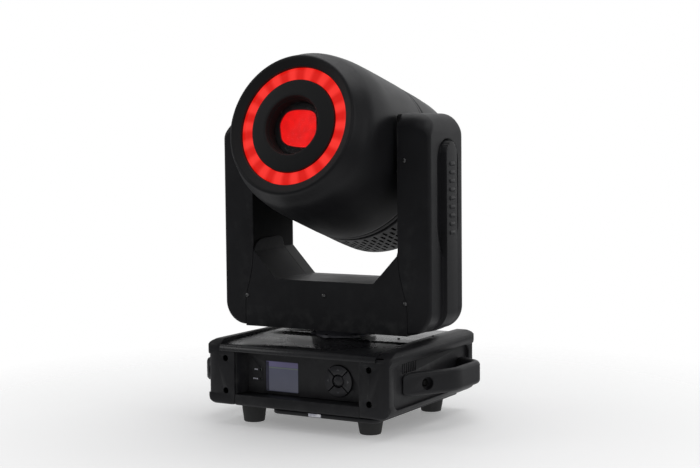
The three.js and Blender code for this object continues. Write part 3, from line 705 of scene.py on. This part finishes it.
def head_screws():
    """Small screws on the barrel, given by angle round it and place along it, and at the rear."""
    parts = []
    spots = [(18, 24), (-18, 24), (162, 24), (-162, 24)]
    spots += [(60, -38), (120, -38), (-60, -38), (-120, -38)]
    for degrees, z in spots:
        t = radians(degrees)
        normal = (cos(t), sin(t), 0)
        x, y, _ = limited(93.2 * cos(t), 93.2 * sin(t), z)
        if abs(x) > FLAT - 3:
            normal = (copysign(1, x), 0, 0)
        parts.append(screw(at(x, y, z, normal), 1.7))
    for k in range(4):
        t = radians(45 + 90 * k)
        parts.append(screw(at(55 * cos(t), 55 * sin(t), BACK, TO_FLOOR), 2.4))
    put_screws("head_screws", "head", parts, HEAD)


# ---- Yoke ----

ARM_IN, ARM_OUT, ARM_LOW, ARM_HIGH, ARM_Y = 92.35, 131.3, 102.5, 338.0, 41.9
LOWER_R, UPPER_R = 26.0, 22.0
STRIP_OUT, STRIP_HALF, STRIP_TOP = 136.8, 12.8, 308.0
RIM_HALF, RIM_TOP, GROOVE_LOW = 25.2, 311.0, 177.0


def arm_path():
    """(x, z, outward x, outward z, height); height goes on falling round the lower corner."""
    path = []

    def straight(x0, z0, x1, z1, nx, nz, steps):
        for k in range(steps):
            t = k / steps
            path.append([x0 + (x1 - x0) * t, z0 + (z1 - z0) * t, nx, nz])

    def arc(cx, cz, radius, start, end, steps):
        for k in range(steps):
            a = radians(start + (end - start) * k / steps)
            nx, nz = cos(a), sin(a)
            path.append([cx + radius * nx, cz + radius * nz, nx, nz])

    corner = ARM_OUT - UPPER_R
    straight(ARM_IN, ARM_HIGH, corner, ARM_HIGH, 0, 1, 6)
    arc(corner, ARM_HIGH - UPPER_R, UPPER_R, 90, 0, 16)
    straight(ARM_OUT, ARM_HIGH - UPPER_R, ARM_OUT, ARM_LOW + LOWER_R, 1, 0, 250)
    low = ARM_OUT - LOWER_R
    arc(low, ARM_LOW + LOWER_R, LOWER_R, 0, -90, 24)
    straight(low, ARM_LOW, ARM_IN, ARM_LOW, 0, -1, 8)
    path.append([ARM_IN, ARM_LOW, 0, -1])
    along = 0.0
    for k, p in enumerate(path):
        if k:
            along += hypot(p[0] - path[k - 1][0], p[1] - path[k - 1][1])
        p.append(along)
    level = next(p[4] for p in path if p[0] >= ARM_OUT - 0.01)
    return [(x, z, nx, nz, ARM_HIGH - UPPER_R + level - s) for x, z, nx, nz, s in path]


def arm_relief(y, height):
    """Depth of an arm's outer surface: a raised strip with a groove round its upper part."""
    beyond = hypot(y, max(0.0, height - (STRIP_TOP - STRIP_HALF)))
    strip = 1 - smoothstep(STRIP_HALF - 0.4, STRIP_HALF + 0.9, beyond)
    raised = (STRIP_OUT - ARM_OUT) * (0.12 + 0.88 * smoothstep(92, 128, height))
    crown = 0.5 * min(1.0, (beyond / STRIP_HALF) ** 2)
    taper = smoothstep(GROOVE_LOW, GROOVE_LOW + 42, height)
    half = STRIP_HALF + (RIM_HALF - STRIP_HALF) * taper
    rim = hypot(y, max(0.0, height - (RIM_TOP - RIM_HALF))) - half
    groove = (1 - smoothstep(-1.6, 0.1, rim)) * (1 - strip)
    return 2.6 * groove - (raised - crown) * strip


EDGE_STEPS = (0, 0.06, 0.2, 0.45, 0.8, 1.25, 1.8, 2.5, 3.4, 4.4, 5.6, 7.0, 8.6, 10.4, 12.4, 14.6)


def arm_samples():
    """Values of y across an arm, closer together where the relief changes."""
    half = [ARM_Y - step for step in EDGE_STEPS] + [26.8, 26.2]
    half += [25.8 - 0.35 * k for k in range(9)] + [22, 20, 18, 16, 14.6]
    half += [14.0 - 0.3 * k for k in range(8)] + [11, 9, 6, 3]
    return [-y for y in half] + [0.0] + half[::-1]


def edge_depth(y, height):
    """How far the rounded front or rear edge has fallen away at y."""
    top = smoothstep(ARM_HIGH - 26, ARM_HIGH - 6, height)
    radius = (3.6 if y < 0 else 10.0) * (1 - top) + 15.0 * top
    into = radius - (ARM_Y - abs(y))
    return 0.0 if into <= 0 else radius - sqrt(max(0.0, radius * radius - into * into))


def seam_shape(extra):
    """The front view of the crosspiece cover, grown sideways by extra."""
    curve = [(103.3, 124), (102.3, 136), (98.6, 149), (94.0, 168), (92.2, 187.3)]
    curve = [(x + extra, z) for x, z in curve]
    return [(103.3 + extra, 100.2)] + smooth_curve(curve, 5)


def arm_cover(side):
    rows = []
    for x, z, nx, nz, height in arm_path():
        row = []
        for y in arm_samples():
            depth = edge_depth(y, height) + arm_relief(y, height)
            row.append((x - nx * depth, y, z - nz * depth))
        rows.append(row)
    points, faces = grid(rows)
    width = len(rows[0])
    last = len(rows) - 1
    faces.append([i * width for i in range(last + 1)])
    faces.append([i * width + width - 1 for i in range(last, -1, -1)])
    faces.append([*range(width)] + [last * width + j for j in range(width - 1, -1, -1)])
    cover = make("arm", points, faces, SHELL)
    shape = [(60, 99), *seam_shape(0.35), (60, 187.3)]
    boolean(cover, [prism("cut", shape, -60, 60, "y", SHELL)])
    to_side(cover, side)
    cover.name = side_name(side) + "_arm_moulding"
    put(cover, "yoke", side_name(side) + "_arm_cover")


def arm_ribs(side):
    """A row of short plain ribs down the strip."""
    low, high = STRIP_OUT - 0.9, STRIP_OUT + 0.5
    parts = []
    for k in range(9):
        z = 284 - 9.2 * k
        shape = rectangle((-6.4, 6.4), (z - 2.3, z + 2.3), 2.2)
        parts.append(settle(bevel(prism("rib", shape, low, high, "x", SHELL), 0.4, 3)))
    ribs = joined("arm_ribs", parts)
    to_side(ribs, side)
    ribs.name = side_name(side) + "_arm_ribs"
    put(ribs, "yoke")


def crosspiece(half, low, high, finish):
    """The front or back half of the cover between the arms."""
    right = [(x - 0.3, max(z, 101.3)) for x, z in seam_shape(0)]
    right[0] = (103.0, 101.3)
    left = [(-x, z) for x, z in reversed(right)]
    corners = [(92.0, 186.8, 0), (62.3, 155.6, 3), (-62.3, 155.6, 3), (-92.0, 186.8, 0)]
    shape = right + outline(corners, 5)[1:-1] + left
    cover = prism(f"crosspiece_{half}_moulding", shape, low, high, "y", finish)
    boolean(cover, [rod(22, 90, 108, finish)])
    bevel(cover, 0.9, 3, 30)
    put(cover, "yoke", f"crosspiece_{half}_cover")


def shoulder_tab(side):
    """The rounded top of the crosspiece against an arm's inner side."""
    edge = smooth_curve([(-41.6, 187), (-38.5, 192.5), (-33.5, 197), (-26, 199.4), (-10, 200.2),
                         (8, 200.2), (14.5, 199), (18.5, 195), (21, 187)], 5)
    shape = [(-41.6, 184), *edge, (21, 184)]
    tab = prism(side_name(side) + "_shoulder_tab", shape, side * 92.25, side * 90.9, "x", SHELL)
    bevel(tab, 0.5, 2)
    put(tab, "yoke")


def inner_panel(side):
    """The flat panel on an arm's inner side, in a darker plastic as painted shade between arm and
    head, with the trunnion's hole and a collar round it.
    """
    name = side_name(side)
    shape = rectangle((-41.0, 41.0), (187.6, 337.0), 3.0)
    # The darker plastic of this panel is painted shade.
    panel = prism(name + "_inner_panel_shaded", shape, side * 92.3, side * 94.4, "x", INNER_PANEL_SHADE)
    boolean(panel, [rod(19.6, -9, 9, SHELL, at(side * 93, 0, TILT_Z, TO_RIGHT))])
    bevel(panel, 0.5, 2)
    put(panel, "yoke", name + "_inner_panel")
    section = [(18.3, -0.9), (23, -0.9), (24, 0.1), (24, 1.2), (18.3, 1.2), (18.3, -0.9)]
    place = at(side * 91.5, 0, TILT_Z, (side, 0, 0))
    put(lathe(name + "_collar", section, PANEL, place, 64), "yoke")


def yoke_screws():
    parts = []
    for x, z in ((-101, 136), (0, 140), (101, 136), (-101, 288), (101, 288)):
        for normal in (TO_FRONT, TO_REAR):
            # The yoke screws' lighter metal is a painted highlight.
            parts.append(screw(at(x, normal[1] * (ARM_Y + 0.1), z, normal), 2.3, SCREW_PAINTED_HIGHLIGHT))
    put_screws("yoke_screws", "yoke", parts)


def pan_hub():
    profile = [(16, 91.95), (30.6, 91.95), (31.4, 92.5), (31.4, 94.2), (30.8, 94.9),
               (29.4, 95.2), (29.2, 100.4), (28.6, 101.1), (16, 101.1), (16, 91.95)]
    # The hub's light tone is painted light; the hub is in shade under the yoke.
    parts = [lathe("pan_hub_collar", profile, HUB_PAINTED_LIGHT)]
    for k in range(6):
        t = radians(60 * k + 25)
        place = Matrix.Rotation(t, 4, "Z")
        shape = rectangle((26, 36.5), (-4.2, 4.2), 3.6)
        parts.append(settle(bevel(prism("ear", shape, 92.2, 95.2, "z", HUB_PAINTED_LIGHT, place), 0.5, 2)))
        parts.append(screw(at(33 * cos(t), 33 * sin(t), 95.3), 1.9))
    put(joined("pan_hub_collar", parts), "yoke", "pan_hub")


# ---- Base ----

HALF_DEPTH, INNER_W, TOP_W, OUTER_W = 102.3, 78.3, 97.7, 115.0
PANEL_FRONT, PANEL_BACK = -82.3, 95.0
PAD_X, PAD_Z, PAD_R, ENTER_R = 42.3, 55.2, 16.8, 6.4
SCREEN_X = (-50.8, -8.8)
LAMP_X, LAMP_Z = -57, (60, 49.6)
END_SCREW_X, END_SCREW_Z = 90, (37.5, 73.1)
GRIP_Z = 52.6
GRIP_SCREWS = ((126.3, -39.5, -30.6), (127.5, 66.2, 59))  # x, y, degrees they face
LEFT_SHIFT = -9  # how far forwards the left grip stands of a plain half turn
SOCKET_Z, FUSE_X, FUSE_Z = 57.5, -3, 67.5


def half_turned(obj, name):
    """The same moulding turned half round, on the left."""
    mesh = obj.data.copy()
    mesh.transform(Matrix.Rotation(pi, 4, "Z"))
    return new_object(name, mesh)


def end_covers():
    inside = INNER_W + 0.3
    front = outline(
        [(inside, 23, 0), (inside + 6, 22, 2), (105, 22, 6), (115, 28, 8), (112.5, 36, 2.5),
         (112.5, 76, 2.5), (115, 83, 7), (113.5, 89.5, 6), (107, 93.6, 7), (96, 93.6, 4),
         (inside, 90.6, 0)], 6)
    profile = outline(
        [(-HALF_DEPTH, 22, 3), (HALF_DEPTH, 22, 3), (HALF_DEPTH, 93.2, 13), (60, 93.4, 30),
         (20, 93.6, 60), (-30, 93.0, 60), (-86, 90.0, 20), (-HALF_DEPTH, 84.5, 8)], 6)
    plans = []
    for radius, low, high in ((9, 34, 77), (5, 0, 34), (5, 77, 120)):
        plan = outline([(0, -HALF_DEPTH, 0), (OUTER_W, -HALF_DEPTH, 9),
                        (OUTER_W, HALF_DEPTH, radius), (0, HALF_DEPTH, 0)], 8)
        plans.append(prism("plan", plan, low, high, "z", SHELL))
    boolean(plans[0], plans[1:], "UNION")
    cover = prism("right_end_cover_moulding", front, -HALF_DEPTH, HALF_DEPTH, "y", SHELL)
    side_view = prism("side", profile, 0, OUTER_W + 1, "x", SHELL)
    boolean(cover, [side_view, plans[0]], "INTERSECT")
    cutters = [
        block("cavity", (inside + 2.5, 106), (-99.8, 99.8), (24.5, 85.6), SHELL),
        block("ledge", (inside - 1, TOP_W + 0.3), (-110, 110), (80.7, 100), SHELL),
        prism("pocket", rectangle((-90, 90), (30, 77), 8), 109, 117, "x", SHELL),
    ]
    screws = []
    for z in END_SCREW_Z:
        for way in (-1, 1):
            seat = at(END_SCREW_X, way * HALF_DEPTH, z, (0, way, 0))
            cutters.append(rod(3.5, -9, 9, SHADE_BLACK, seat, 32))
            for side in (-1, 1):
                y = way * (HALF_DEPTH - 6.5)
                screws.append(screw(at(side * END_SCREW_X, y, z, (0, way, 0)), 2.6))
    for k in range(8):
        y = -64 + 4.1 * k
        slot = rectangle((y, y + 1.7), (64.5, 75.4), 0.8, 3)
        cutters.append(prism("vent", slot, 104, 110.5, "x", SHADE_BLACK))
    boolean(cover, cutters)
    settle(bevel(cover, 0.8, 3, 32), 32)
    left = half_turned(cover, "left_end_cover_moulding")
    put(cover, "base", "right_end_cover")
    put(left, "base", "left_end_cover")
    put_screws("end_cover_screws", "base", screws)


def handles():
    """Rounded bowed grips with a screw recess in each leg."""
    path = outline([(109.4, -67.8, 0), (146, -6, 45), (146, 56, 22), (109.4, 77.9, 0)], 20)
    inner = outline([(109.4, -46.2, 0), (135, -3, 34), (135, 49.8, 12), (109.4, 65.1, 0)], 20)
    grip = prism("right_grip", path + inner[::-1], 40, 65.2, "z", SHELL)
    settle(bevel(grip, 4.6, 7, 60))
    spots = []
    for x, y, degrees in GRIP_SCREWS:
        t = radians(degrees)
        spots.append((x, y, Vector((cos(t), sin(t), 0))))
    boolean(grip, [rod(6.9, -6.5, 20, SHADE_BLACK, at(x, y, GRIP_Z, way), 48) for x, y, way in spots])
    settle(bevel(grip, 0.7, 3, 40), 34)
    left = half_turned(grip, "left_grip")
    left.data.transform(Matrix.Translation((0, LEFT_SHIFT * MM, 0)))
    put(grip, "base", "right_handle")
    put(left, "base", "left_handle")
    screws = []
    for side, shift in ((-1, LEFT_SHIFT), (1, 0)):
        for x, y, way in spots:
            seat = Vector((side * x, side * y + shift, GRIP_Z)) - 6.8 * side * way
            # The darker screw metal here is painted shade at the bottom of the recesses.
            screws.append(screw(at(*seat, side * way), 4.2, SCREW_PAINTED_SHADE))
    put_screws("handle_screws", "base", screws)


def top_cover():
    half = [(-HALF_DEPTH, 81.0), (-HALF_DEPTH, 84.0), (-101.2, 86.6), (-98, 88.5), (-93, 89.4),
            (-86, 89.9), (-70, 90.4), (-50, 90.9), (-25, 91.35), (0, 91.5)]
    outer = smooth_curve(half, 4)
    outer += [(-y, z) for y, z in outer[-2::-1]]
    inner = [(y * 0.975, max(81.0, z - 2.4)) for y, z in reversed(outer)]
    cover = prism("base_top_moulding", outer + inner, -TOP_W, TOP_W, "x", TOP)
    boolean(cover, [rod(25.5, 70, 99, TOP, None, 96)])
    width, height = (-INNER_W, INNER_W), (81.0, 83.5)
    lips = [
        block("lip", width, (-99.9, PANEL_FRONT + 0.3), height, PANEL),
        block("lip", width, (PANEL_BACK - 0.3, 99.9), height, PANEL),
    ]
    cover = joined("base_top_moulding", [cover, *lips])
    settle(bevel(cover, 0.4, 2, 50), 30)
    put(cover, "base", "base_top_cover")
    screws = []
    for side in (-1, 1):
        for y in (-58, 1, 58):
            z = 91.5 - 0.00055 * y * y
            screws.append(screw(at(side * 70, y, z - 0.35), 1.8))
        for y, z in ((23, 93.2), (-58, 91.6)):
            screws.append(screw(at(side * 101, y, z), 1.9))
    put_screws("top_screws", "base", screws)


def tray():
    edge = [(0, 34), (0, 24.4), (0.7, 22.7), (2.4, 22)]
    section = [(inward - HALF_DEPTH, z) for inward, z in edge[1:]]
    section += [(HALF_DEPTH - inward, z) for inward, z in reversed(edge)]
    section += [(94.7, 34), (94.7, 31.5), (99.8, 31.5), (99.8, 24.5), (-99.8, 24.5),
                (-99.8, 31.5), (-82, 31.5), (-82, 34), (-HALF_DEPTH, 34)]
    body = prism("tray", section, -INNER_W, INNER_W, "x", SHELL)
    settle(bevel(body, 0.9, 3, 40))
    belly = prism("belly", rectangle((-33, 97), (-100.3, 98.3), 10, 8), 17, 21.7, "z", SHELL)
    settle(bevel(belly, 1.6, 4, 40))
    bridge = block("bridge", (-28, 77), (-94, 92), (21.2, 22.6), SHELL)
    put(joined("tray_moulding", [body, belly, bridge]), "base", "base_tray")
    shape = rectangle((15, 30.5), (17.9, 21.2), 0.5, 2)
    put(prism("blank_label", shape, -100.42, -100.28, "y", STICKER), "base")
    heads = [screw(at(x, y, 17.0, TO_FLOOR), 2.6) for x in (-20, 30, 84) for y in (-82, 82)]
    put_screws("tray_screws", "base", heads)


def feet():
    spots = {"front_left": (-73.9, -70.9, 22), "front_right": (73.9, -70.9, 17),
             "rear_left": (-73.9, 70.9, 22), "rear_right": (73.9, 70.9, 17)}
    for corner, (x, y, height) in spots.items():
        profile = [(0, 2.2), (3.4, 2.2), (3.8, 1.4), (3.8, 0.02), (10.2, 0.02), (11.1, 0.3),
                   (11.6, 1.3)]
        profile += [(11.6 + 2.4 * t / 6, 1.3 + (height - 3.3) * t / 6) for t in range(1, 6)]
        profile += [(14.0, height - 1.6), (14.0, height - 0.2), (13.8, height - 0.1),
                    (0, height - 0.1)]
        pad = lathe(corner + "_rubber_foot", profile, RUBBER, at(x, y, 0), 72)
        put(pad, "base", corner + "_foot")


def control_panel():
    """The recessed plate with its side walls, tick marks and a deep black floor under the keys,
    which is painted shade.
    """
    width, height = (-INNER_W, INNER_W), (34.3, 80.7)
    plate = block("plate", width, (PANEL_FRONT, PANEL_FRONT + 2.5), height, PANEL)
    pad = at(PAD_X, PANEL_FRONT, PAD_Z, TO_FRONT)
    cutters = [
        prism("window", rectangle(SCREEN_X, (37.2, 70.4), 1.2), -86, -76, "y", PANEL),
        rod(PAD_R + 0.5, -9, 9, SHADE_BLACK, pad, 72),
    ]
    for z in LAMP_Z:
        cutters.append(rod(1.6, -9, 9, SHADE_BLACK, at(LAMP_X, PANEL_FRONT, z, TO_FRONT), 24))
    boolean(plate, cutters)
    settle(bevel(plate, 0.45, 2, 40))
    rear = PANEL_FRONT + 0.4
    wall = [(0, -99.9), (1.5, -99.9), (2.1, -97), (5.2, rear), (0, rear)]
    walls = []
    for side in (-1, 1):
        shape = [(side * (INNER_W - inward), y) for inward, y in wall]
        walls.append(prism("wall", shape, 34.4, 80.6, "z", PANEL))
    put(joined("control_panel_moulding", [plate, *walls], 25), "base", "control_panel")
    marks = []
    for z, length in zip(LAMP_Z, (4.6, 6.6)):
        for k in range(3):
            x = -60.4 - length * (k + 1) / 3
            y = (PANEL_FRONT - 0.1, PANEL_FRONT + 0.1)
            marks.append(block("mark", (x, x + length / 3 - 0.5), y, (z - 0.75, z + 0.75), PRINT))
    put(joined("lamp_marks", marks), "base")
    # A deep black block behind the key hole: painted shade under the keys.
    width, height = (PAD_X - 18, PAD_X + 18), (PAD_Z - 18, PAD_Z + 18)
    put(block("key_well_painted_shade", width, (PANEL_FRONT + 3, PANEL_FRONT + 3.8), height, SHADE_BLACK), "base")


def display():
    left, right = SCREEN_X
    shape = rectangle((left + 0.35, right - 0.35), (37.55, 70.05), 1.0)
    pane = prism("display_pane", shape, PANEL_FRONT + 0.5, PANEL_FRONT + 2.0, "y", SCREEN)
    bevel(pane, 0.3, 2)
    put(pane, "base", "display_module")
    # A thin purplish strip inside the window's left edge: painted reflection of the bezel in the
    # screen.
    shape = rectangle((left + 0.5, left + 4.2), (38, 69.6), 0.4)
    low, high = PANEL_FRONT + 0.3, PANEL_FRONT + 0.6
    put(prism("display_painted_reflection_strip", shape, low, high, "y", SCREEN_PAINTED_REFLECTION), "base")


def status_lamps():
    profile = [(0, 0.55), (0.5, 0.52), (0.95, 0.36), (1.25, 0.05), (1.3, -0.4), (1.3, -5),
               (0, -5)]
    for name, z in zip(("upper_status_led", "lower_status_led"), LAMP_Z):
        lamp = lathe(name + "_lamp", profile, LED, at(LAMP_X, PANEL_FRONT, z, TO_FRONT), 32)
        put(lamp, "base", name)


def sector(inner, outer, gap, steps=20):
    """A quarter ring with parallel gaps, as (x, z) about the middle, pointing to +x."""
    points = []
    for radius, way in ((outer, 1), (inner, -1)):
        reach = pi / 4 - gap / radius
        for k in range(steps + 1):
            a = way * reach * (2 * k / steps - 1)
            points.append((radius * cos(a), radius * sin(a)))
    return points


def buttons():
    middle = Matrix.Translation((PAD_X * MM, 0, PAD_Z * MM))
    top = PANEL_FRONT - 2.0
    for k, name in enumerate(("right", "up", "left", "down")):
        shape = sector(ENTER_R + 0.7, PAD_R, 0.5)
        key = prism("key", shape, top, PANEL_FRONT + 4.5, "y", BUTTON)
        settle(bevel(key, 0.8, 4, 30))
        shape = [(13.6, 0), (11.2, 1.9), (11.2, -1.9)]
        arrow = prism("arrow", shape, top - 0.08, top + 0.1, "y", ARROW)
        key = joined(name + "_key_cap", [key, arrow])
        key.matrix_world = middle @ Matrix.Rotation(radians(-90 * k), 4, "Y")
        put(key, name + "_key", name + "_button")
    profile = [(0, 2.55), (2.2, 2.45), (4.2, 2.1), (5.5, 1.5), (6.1, 0.8), (ENTER_R, -0.2),
               (ENTER_R, -4.6), (0, -4.6)]
    place = at(PAD_X, PANEL_FRONT, PAD_Z, TO_FRONT)
    put(lathe("enter_key_cap", profile, BUTTON, place, 72), "enter_key", "enter_button")


def rear_panel():
    width, depth = (-INNER_W, INNER_W), (PANEL_BACK - 2, PANEL_BACK)
    plate = block("rear_panel_plate", width, depth, (34.3, 80.7), PANEL)
    holes = [(x, SOCKET_Z, 12.3) for x in (-58, -25, 19, 52)] + [(FUSE_X, FUSE_Z, 5.3)]
    boolean(plate, [rod(radius, -9, 9, SHADE_BLACK, at(x, PANEL_BACK, z, TO_REAR))
                    for x, z, radius in holes])
    settle(bevel(plate, 0.3, 2, 40))
    put(plate, "base", "rear_panel")


def socket(name, x, half, depth, finish, pins):
    """A flange with its cup, pins and two screws.

    Each pin is (distance and angle from the middle, radius, length, finish).
    """
    shape = rectangle((x - half, x + half), (SOCKET_Z - 15, SOCKET_Z + 15), 3)
    flange = prism("flange", shape, 95.3, 97.3, "y", finish)
    boolean(flange, [rod(9.9, -30, 30, finish, at(x, 96, SOCKET_Z, TO_REAR))])
    settle(bevel(flange, 0.5, 3, 40))
    section = [(9.7, 2.0), (10.1, 2.3), (11.6, 2.3), (12.0, 1.8), (12.0, -depth - 1.6),
               (0, -depth - 1.6), (0, -depth), (9.3, -depth), (9.7, -depth + 0.4), (9.7, 2.0)]
    parts = [flange, lathe("cup", section, finish, at(x, 95, SOCKET_Z, TO_REAR), 72)]
    for away, degrees, radius, length, pin_finish in pins:
        t = radians(degrees)
        place = at(x + away * cos(t), 95 - depth, SOCKET_Z + away * sin(t), TO_REAR)
        section = [(0, length), (radius * 0.6, length), (radius, length - radius * 0.5),
                   (radius, 0), (0, 0)]
        parts.append(lathe("pin", section, pin_finish, place, 24))
    for side in (-1, 1):
        place = at(x + side * (half - 2.8), 97.3, SOCKET_Z + side * 12, TO_REAR)
        parts.append(screw(place, 1.7))
    put(joined(name + "_socket", parts), "base", name)


def rear_sockets():
    for name, x, finish in (("power_inlet", -58, BLUE_SOCKET), ("power_outlet", -25, GREY_SOCKET)):
        blades = [(6.2, 90 + 120 * k, 1.5, 8, BRASS) for k in range(3)]
        socket(name, x, 13.5, 13, finish, [*blades, (0, 0, 2.8, 9.5, finish)])
    pins = [(4.4, angle, 1.2, 7.5, BRASS) for angle in (30, 150, 270)]
    socket("data_inlet", 19, 13, 11, SOCKET, pins)
    # The outlet's holes are short deep black pins: painted shade inside the holes.
    holes = [(4.4, angle, 1.4, 3.75, SHADE_BLACK) for angle in (30, 150, 270)]
    socket("data_outlet", 52, 13, 3, SOCKET, [(0, 0, 8.2, 3.6, SOCKET), *holes])
    place = at(FUSE_X, 95.5, FUSE_Z, TO_REAR)
    section = [(0, 4.4), (4.6, 4.4), (5.2, 3.9), (6.5, 1.4), (6.5, 0.3), (5, 0.2), (5, -20),
               (0, -20)]
    cap = lathe("fuse_cap", section, SOCKET, place, 48)
    boolean(cap, [block("slot", (-4, 4), (-0.6, 0.6), (3.4, 6), SHADE_BLACK, place)])
    put(cap, "base", "fuse_holder")
    spots = [at(x, PANEL_BACK, z, TO_REAR) for x in (-73, 0, 73) for z in (38.5, 76.5)]
    put_screws("rear_panel_screws", "base", [screw(spot, 2.0) for spot in spots])


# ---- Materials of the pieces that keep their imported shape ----

KEPT = {
    STEEL: ("yoke_chassis", "head_chassis"),
    ALUMINIUM: ("pan_bearing_housing", "pan_motor_pulley", "tilt_motor_pulley", "pan_pulley",
                "heat_sink", "right_trunnion", "left_trunnion", "gobo_wheel", "color_wheel"),
    MOTOR: ("pan_motor", "tilt_motor", "power_supply", "lamp_module"),
    BELT: ("pan_belt", "tilt_belt"),
    BOARD: ("control_board", "driver_board", "led_ring_board"),
    LENS_GLASS: ("focus_lens",),
    PANEL: ("fan_rotor",),
}


def kept_nodes():
    for material, names in KEPT.items():
        for name in names:
            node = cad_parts[name]
            node.data.materials.clear()
            node.data.materials.append(material)
            soften(node, 30)


# ---- Studio ----


def area(name, size, energy, place, target):
    light = bpy.data.lights.new(name, "AREA")
    light.shape = "RECTANGLE"
    light.size, light.size_y = size
    light.energy = energy
    obj = new_object(name, light)
    obj.location = place
    obj.rotation_euler = (Vector(target) - Vector(place)).to_track_quat("-Z", "Y").to_euler()


def floor():
    """A pale floor that fades out round the object."""
    reach, z = 1.0, -0.0002
    corners = [(-reach, -reach, z), (reach, -reach, z), (reach, reach, z), (-reach, reach, z)]
    mesh = bpy.data.meshes.new("floor")
    mesh.from_pydata(corners, [], [(0, 1, 2, 3)])
    look = Look("floor", Emission_Strength=0.25)
    tint = look.mix(look.noise(3.0), grey(0.93), grey(0.97))
    x, y, _ = look.axes()
    squares = look.math("ADD", look.math("MULTIPLY", x, x), look.math("MULTIPLY", y, y))
    shown = look.map(look.math("SQRT", squares), 0.08, 0.6, 1.0, 0.0)
    rough = look.map(look.noise(8.0), 0.3, 0.7, 0.6, 0.7)
    look.use(Base_Color=tint, Roughness=rough, Alpha=shown, Emission_Color=tint)
    mesh.materials.append(look.material)
    new_object("floor", mesh)


def studio():
    """A white surround for the camera, a dim one for the light, and five soft lamps."""
    scene = bpy.context.scene
    scene.view_settings.view_transform = "Standard"
    scene.view_settings.look = "None"
    world = bpy.data.worlds.new("studio")
    scene.world = world
    world.use_nodes = True
    tree = world.node_tree
    dim = tree.nodes["Background"]
    white = tree.nodes.new("ShaderNodeBackground")
    for node, color, strength in ((dim, (0.86, 0.87, 0.9, 1), 0.17), (white, (1, 1, 1, 1), 1.0)):
        node.inputs["Color"].default_value = color
        node.inputs["Strength"].default_value = strength
    seen = tree.nodes.new("ShaderNodeLightPath").outputs["Is Camera Ray"]
    blend = tree.nodes.new("ShaderNodeMixShader")
    for k, output in enumerate((seen, dim.outputs[0], white.outputs[0])):
        tree.links.new(output, blend.inputs[k])
    tree.links.new(blend.outputs[0], tree.nodes["World Output"].inputs["Surface"])
    area("overhead", (2.2, 2.2), 20, (0.0, 0.6, 2.2), (0, 0, 0.1))
    area("backdrop", (6.0, 2.0), 25, (0.0, 2.6, 1.0), (0, 0, 1.0))
    area("left", (0.7, 1.6), 3.6, (-1.7, -0.6, 0.9), (0, 0, 0.2))
    area("right", (0.7, 1.6), 3.4, (1.7, -0.1, 0.9), (0, 0, 0.2))
    area("front", (1.6, 1.0), 4.4, (0.9, -2.2, 1.5), (0, 0, 0.15))
    floor()


def camera():
    """The camera fitted to the photo: where it looks from, its roll and what it aims at."""
    azimuth, elevation, roll = (radians(v) for v in (30.23, 3.94, -0.54))
    distance, aside, aim_z = 1567.94, 8.44, 205.01
    flat = cos(elevation)
    back = Vector((sin(azimuth) * flat, -cos(azimuth) * flat, sin(elevation)))
    level = Vector((cos(azimuth), sin(azimuth), 0))
    upright = back.cross(level)
    right = cos(roll) * level + sin(roll) * upright
    up = -sin(roll) * level + cos(roll) * upright
    target = Vector((aside * cos(azimuth), aside * sin(azimuth), aim_z))
    data = bpy.data.cameras.new("camera")
    data.lens = 72.075
    data.sensor_width = 36
    data.clip_end = 100
    obj = new_object("camera", data)
    rotation = Matrix((right, up, back)).transposed().to_4x4()
    obj.matrix_world = Matrix.Translation((target + distance * back) * MM) @ rotation
    bpy.context.scene.camera = obj


studio()
camera()

front_shell()
rear_shell()
rear_grille()
ring_and_lens()
head_screws()

arm_cover(1)
arm_cover(-1)
for side in (-1, 1):
    arm_ribs(side)
    inner_panel(side)
crosspiece("front", -41.9, 21.3, SHELL)
shoulder_tab(-1)
shoulder_tab(1)
# The back half's own tone is painted shading for the light on the back band.
crosspiece("back", 21.7, 41.9, BACK_COVER_PAINTED_SHADING)
yoke_screws()
pan_hub()

end_covers()
handles()
top_cover()
tray()
feet()
control_panel()
display()
status_lamps()
buttons()
rear_panel()
rear_sockets()
kept_nodes()
